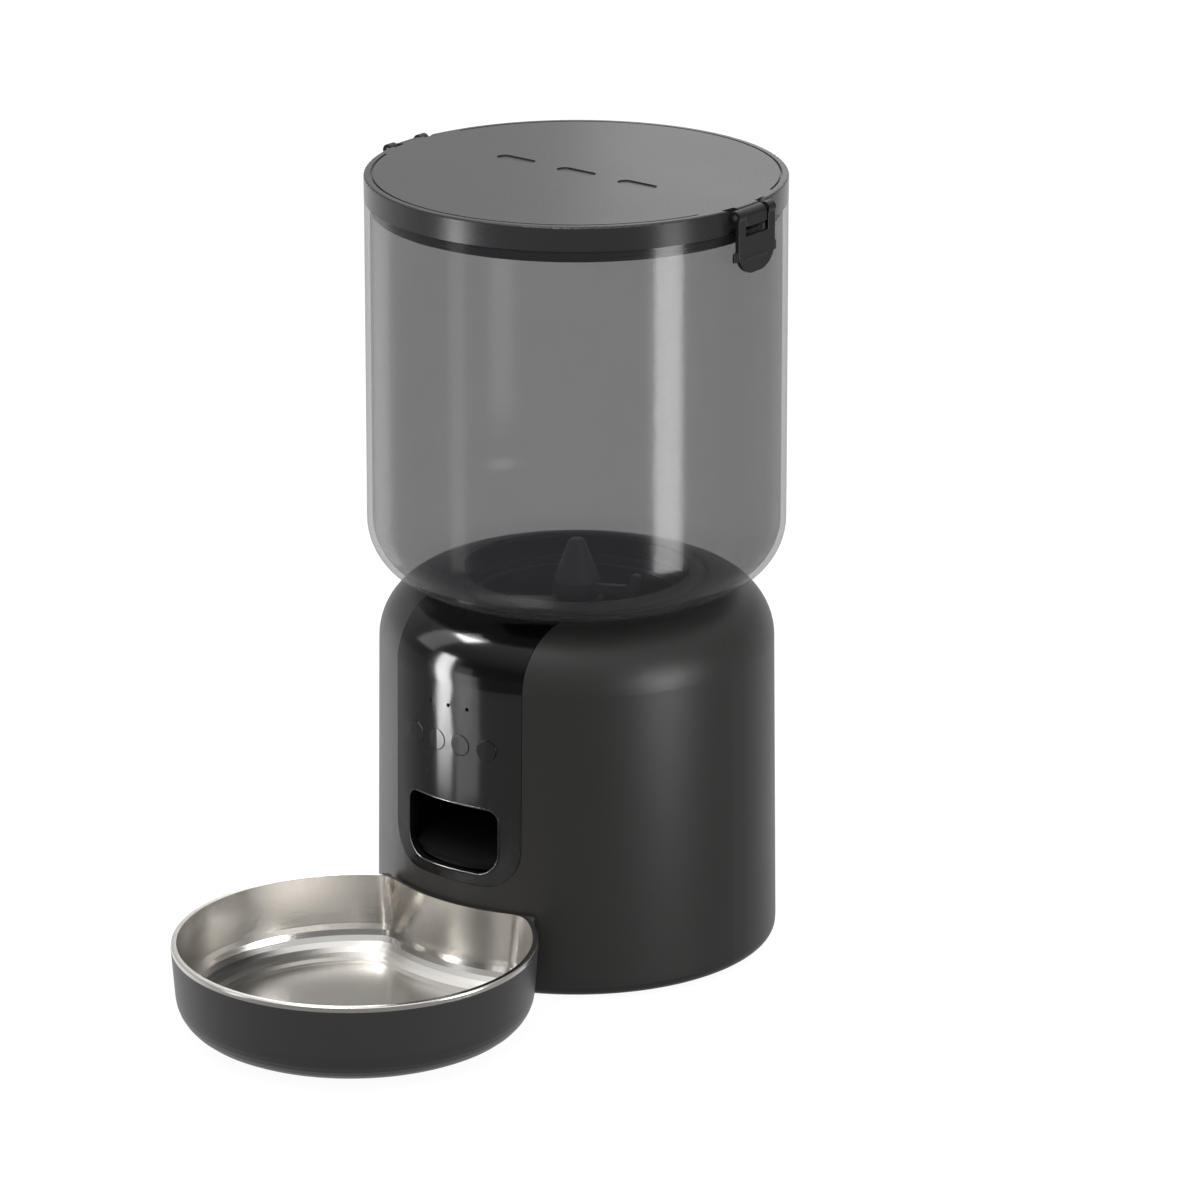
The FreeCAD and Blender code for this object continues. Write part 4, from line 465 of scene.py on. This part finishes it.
# %% [markdown]
# Behind the window the housing has a square seat, and its two lower corners would show beside the
# panel's round ones. The copy of the housing has them drawn in to the curve of the panel's recess.

# %% Housing behind the panel
SEAT_CORNER = Vector((0.0320, 0.0514))
CURVE_MIDDLE = Vector((0.0174, 0.0676))
CURVE_RADIUS = 0.0182
OUTER_WALL_FROM = 0.088
SLACK = 0.00002


def drawn_in(form):
    """Moves the outer points of the seat's lower corners onto the recess's curve."""
    moved = 0
    for point in form.verts:
        outer = math.hypot(point.co.x, point.co.y)
        seen = Vector((abs(point.co.x), point.co.z))
        on_edge = abs(seen.y - SEAT_CORNER.y) < SLACK and seen.x < SEAT_CORNER.x + SLACK
        in_front = outer > OUTER_WALL_FROM and point.co.y < 0.0
        away = seen - CURVE_MIDDLE
        past_curve = away.x > 0.0 and away.length > CURVE_RADIUS + SLACK
        if in_front and on_edge and past_curve:
            seen = CURVE_MIDDLE + away.normalized() * CURVE_RADIUS
            across = math.copysign(seen.x, point.co.x)
            point.co = (across, -math.sqrt(outer ** 2 - across ** 2), seen.y)
            moved += 1
    return moved


housing = merged_copy("base_shell")
print("corner points drawn in:", drawn_in(housing))
stand_in(housing, "base_shell", "_drawn_in", carried=True)

# %% [markdown]
# The photograph looks down at the feeder from the front right, from far away with a long lens. The
# floor is white and runs out of the picture, so it is a large plain disc. It glows a little, as a
# lit table does, so that only a faint shadow is left where the feeder stands.

# %% Camera and floor
CAMERA_AZIMUTH = 39.6
CAMERA_DISTANCE = 2.6528
CAMERA_HEIGHT = 1.0430
LOOKS_DOWN = 18.507
LOOKS_ASIDE = 0.222
FLOOR_RADIUS = 12.0
FLOOR_DROP = 0.0002

camera_data = bpy.data.cameras.new("camera")
camera_data.sensor_width = 36.0
camera_data.lens = 189.405
camera_data.clip_end = 50.0
camera = bpy.data.objects.new("camera", camera_data)
turn = math.radians(CAMERA_AZIMUTH)
camera.location = (math.sin(turn) * CAMERA_DISTANCE, -math.cos(turn) * CAMERA_DISTANCE,
                   CAMERA_HEIGHT)
camera.rotation_euler = (math.radians(90.0 - LOOKS_DOWN), 0.0, turn - math.radians(LOOKS_ASIDE))
bpy.context.scene.collection.objects.link(camera)
bpy.context.scene.camera = camera

floor_form = bmesh.new()
bmesh.ops.create_circle(floor_form, cap_ends=True, segments=96, radius=FLOOR_RADIUS)
bmesh.ops.translate(floor_form, verts=floor_form.verts, vec=(0.0, 0.0, -FLOOR_DROP))
floor_mesh = bpy.data.meshes.new("floor")
floor_form.to_mesh(floor_mesh)
floor_form.free()
floor = bpy.data.objects.new("floor", floor_mesh)
bpy.context.scene.collection.objects.link(floor)
floor_finish = Finish("pale floor", Roughness=0.9, Specular_IOR_Level=0.0, Base_Color=grey(0.14),
                      Emission_Color=grey(1.0), Emission_Strength=0.95)
floor_mesh.materials.append(floor_finish.material)
floor.visible_diffuse = False
floor.visible_glossy = False
floor.visible_shadow = False
print("camera at", tuple(round(value, 3) for value in camera.location))

# %% [markdown]
# A dark glossy thing is drawn by what it mirrors. The room is white behind the feeder and dim in
# front, so walls stay dark and brighten only where they turn away from the camera. A camera that
# looks down sees an upright wall mirror what stands lower than itself, so the line lamps stand near
# the floor.

# %% The room
scene = bpy.context.scene
scene.view_settings.view_transform = "Standard"
scene.world = bpy.data.worlds.new("studio")
scene.world.use_nodes = True
room = Network(scene.world.node_tree)
WHITE_SIDE = math.radians(230.0)
AROUND = [(0.0, 0.30), (0.36, 0.30), (0.58, 0.40), (0.72, 0.65), (0.84, 0.92), (1.0, 1.0)]
UPWARD = [(0.62, 0.0), (0.95, 1.0)]
DIM = 0.62
CEILING_GAIN = 1.3
way = room.add("TexCoord", {}, {}).outputs["Generated"]


def toward(direction, levels):
    """Grey that depends on how far a ray turns toward a direction."""
    turned = room.add("VectorMath", {"operation": "DOT_PRODUCT"}, {0: way, 1: direction})
    amount = Socket(room, turned.outputs["Value"]) * 0.5 + 0.5
    stops = [(spot, grey(level)) for spot, level in levels]
    ramp = room.add("ValToRGB", {"stops": stops}, {"Fac": amount})
    return Socket(room, ramp.outputs["Color"])


walls = toward((math.sin(WHITE_SIDE), -math.cos(WHITE_SIDE), 0.0), AROUND)
above = toward((0.0, 0.0, 1.0), [(0.50, 1.0), (0.56, DIM), (0.62, DIM), (0.95, CEILING_GAIN * DIM)])
ceiling = toward((0.0, 0.0, 1.0), UPWARD)
side_light = walls * above
brighter = side_light.maths("MAXIMUM", side_light, ceiling * CEILING_GAIN)
lit = room.add("Background", {}, {"Color": brighter, "Strength": 0.95})
backdrop = room.add("Background", {}, {"Color": grey(1.0), "Strength": 1.05})
seen = room.add("MixShader", {}, {0: room.add("LightPath", {}, {}).outputs["Is Camera Ray"],
                                  1: lit.outputs[0], 2: backdrop.outputs[0]})
room.add("OutputWorld", {}, {"Surface": seen.outputs[0]})
print("room shades:", AROUND, UPWARD)

# %% [markdown]
# All lamps but the first only show as reflections. Each one puts a line, a band or a soft patch
# where the photograph has it, and most of them light only some of the pieces. The panel's line is
# built of short lamps that grow weaker toward the floor.

# %% Lamps
def lamp(name, azimuth, distance, low, high, wide, watts, lights=None, only_gloss=True):
    """An upright rectangular lamp that faces the feeder's axis, for all pieces or for some."""
    data = bpy.data.lights.new(name, "AREA")
    data.shape = "RECTANGLE"
    data.size, data.size_y = wide, high - low
    data.energy = watts
    lamp_object = bpy.data.objects.new(name, data)
    turn = math.radians(azimuth)
    lamp_object.location = (math.sin(turn) * distance, -math.cos(turn) * distance, (low + high) / 2)
    lamp_object.rotation_euler = (math.radians(90.0), 0.0, turn)
    lamp_object.visible_camera = False
    if only_gloss:
        lamp_object.visible_diffuse = False
        lamp_object.visible_transmission = False
    if lights:
        chosen = bpy.data.collections.new(name + " pieces")
        for node in lights:
            chosen.objects.link(shown[node])
        lamp_object.light_linking.receiver_collection = chosen
    scene.collection.objects.link(lamp_object)
    return lamp_object


def aimed(lamp_object, *target):
    """Turns a lamp to face a point."""
    way_there = Vector(target) - lamp_object.location
    lamp_object.rotation_euler = way_there.to_track_quat("-Z", "Y").to_euler()


gloss_slots = ("panel_gloss", "key_gloss", "trim_black")
front_gloss = [node for node in shown if slot_of_node[node] in gloss_slots]
all_but_gloss = [node for node in shown if node not in front_gloss]
all_but_lid = [node for node in shown if node != "lid_cover"]
# Name, azimuth in degrees, distance, lowest and highest edge and width in metres, watts and, where
# a lamp doesn't light every piece, the pieces that it lights.
UPRIGHT_LAMPS = [
    ("back card", 202.7, 0.85, 0.30, 0.90, 0.50, 0.45),
    ("right line", 86.3, 0.50, 0.025, 0.26, 0.13, 1.30, all_but_lid),
    ("right line on lid", 88.3, 0.50, 0.10, 0.26, 0.11, 0.30, ["lid_cover"]),
    ("left band", -23.5, 0.60, -0.05, 0.25, 0.10, 0.16, all_but_lid),
    ("left band on lid", -23.5, 0.60, 0.05, 0.25, 0.10, 0.80, ["lid_cover"]),
    ("left edge", -88.5, 0.80, -0.30, 0.15, 0.30, 0.60,
     ["hopper_tank", "base_shell", "bottom_cover"]),
    ("rim card", 219.6, 1.2, 0.24, 0.64, 0.40, 2.0, ["steel_bowl"]),
    ("bowl band", 100.0, 0.60, -0.10, 0.35, 0.12, 1.0, ["steel_bowl"]),
]
LINE_STEPS = [0.0, 0.012, 0.024, 0.036, 0.048, 0.060, 0.075, 0.10, 0.24]
LINE_RISE = 0.045
LINE_WATTS_PER_METRE = 5.1

high_key = lamp("high key", -5.0, 0.9, 1.8, 2.8, 1.0, 10.0, all_but_gloss, only_gloss=False)
aimed(high_key, 0.0, 0.0, 0.15)
for row in UPRIGHT_LAMPS:
    lamp(*row)
for low, high in zip(LINE_STEPS, LINE_STEPS[1:]):
    level = 1.0 - math.exp(-(((low + high) / 2 / LINE_RISE) ** 1.6))
    watts = LINE_WATTS_PER_METRE * level * (high - low)
    lamp("panel line %g" % low, -32.0, 0.30, low, high, 0.050, watts, front_gloss)
lamp("panel second line", -17.6, 0.30, 0.0, 0.15, 0.07, 0.092, front_gloss)
lamp("panel low card", 0.0, 0.13, -0.02, 0.125, 0.10, 0.028, front_gloss)
panel_side = lamp("panel side", -57.0, 0.60, 0.31, 0.65, 0.20, 0.60, front_gloss)
aimed(panel_side, -0.016, -0.084, 0.154)
panel_spot = lamp("panel spot", -47.5, 0.358, 0.488, 0.608, 0.12, 2.1, front_gloss)
aimed(panel_spot, 0.006, -0.080, 0.159)
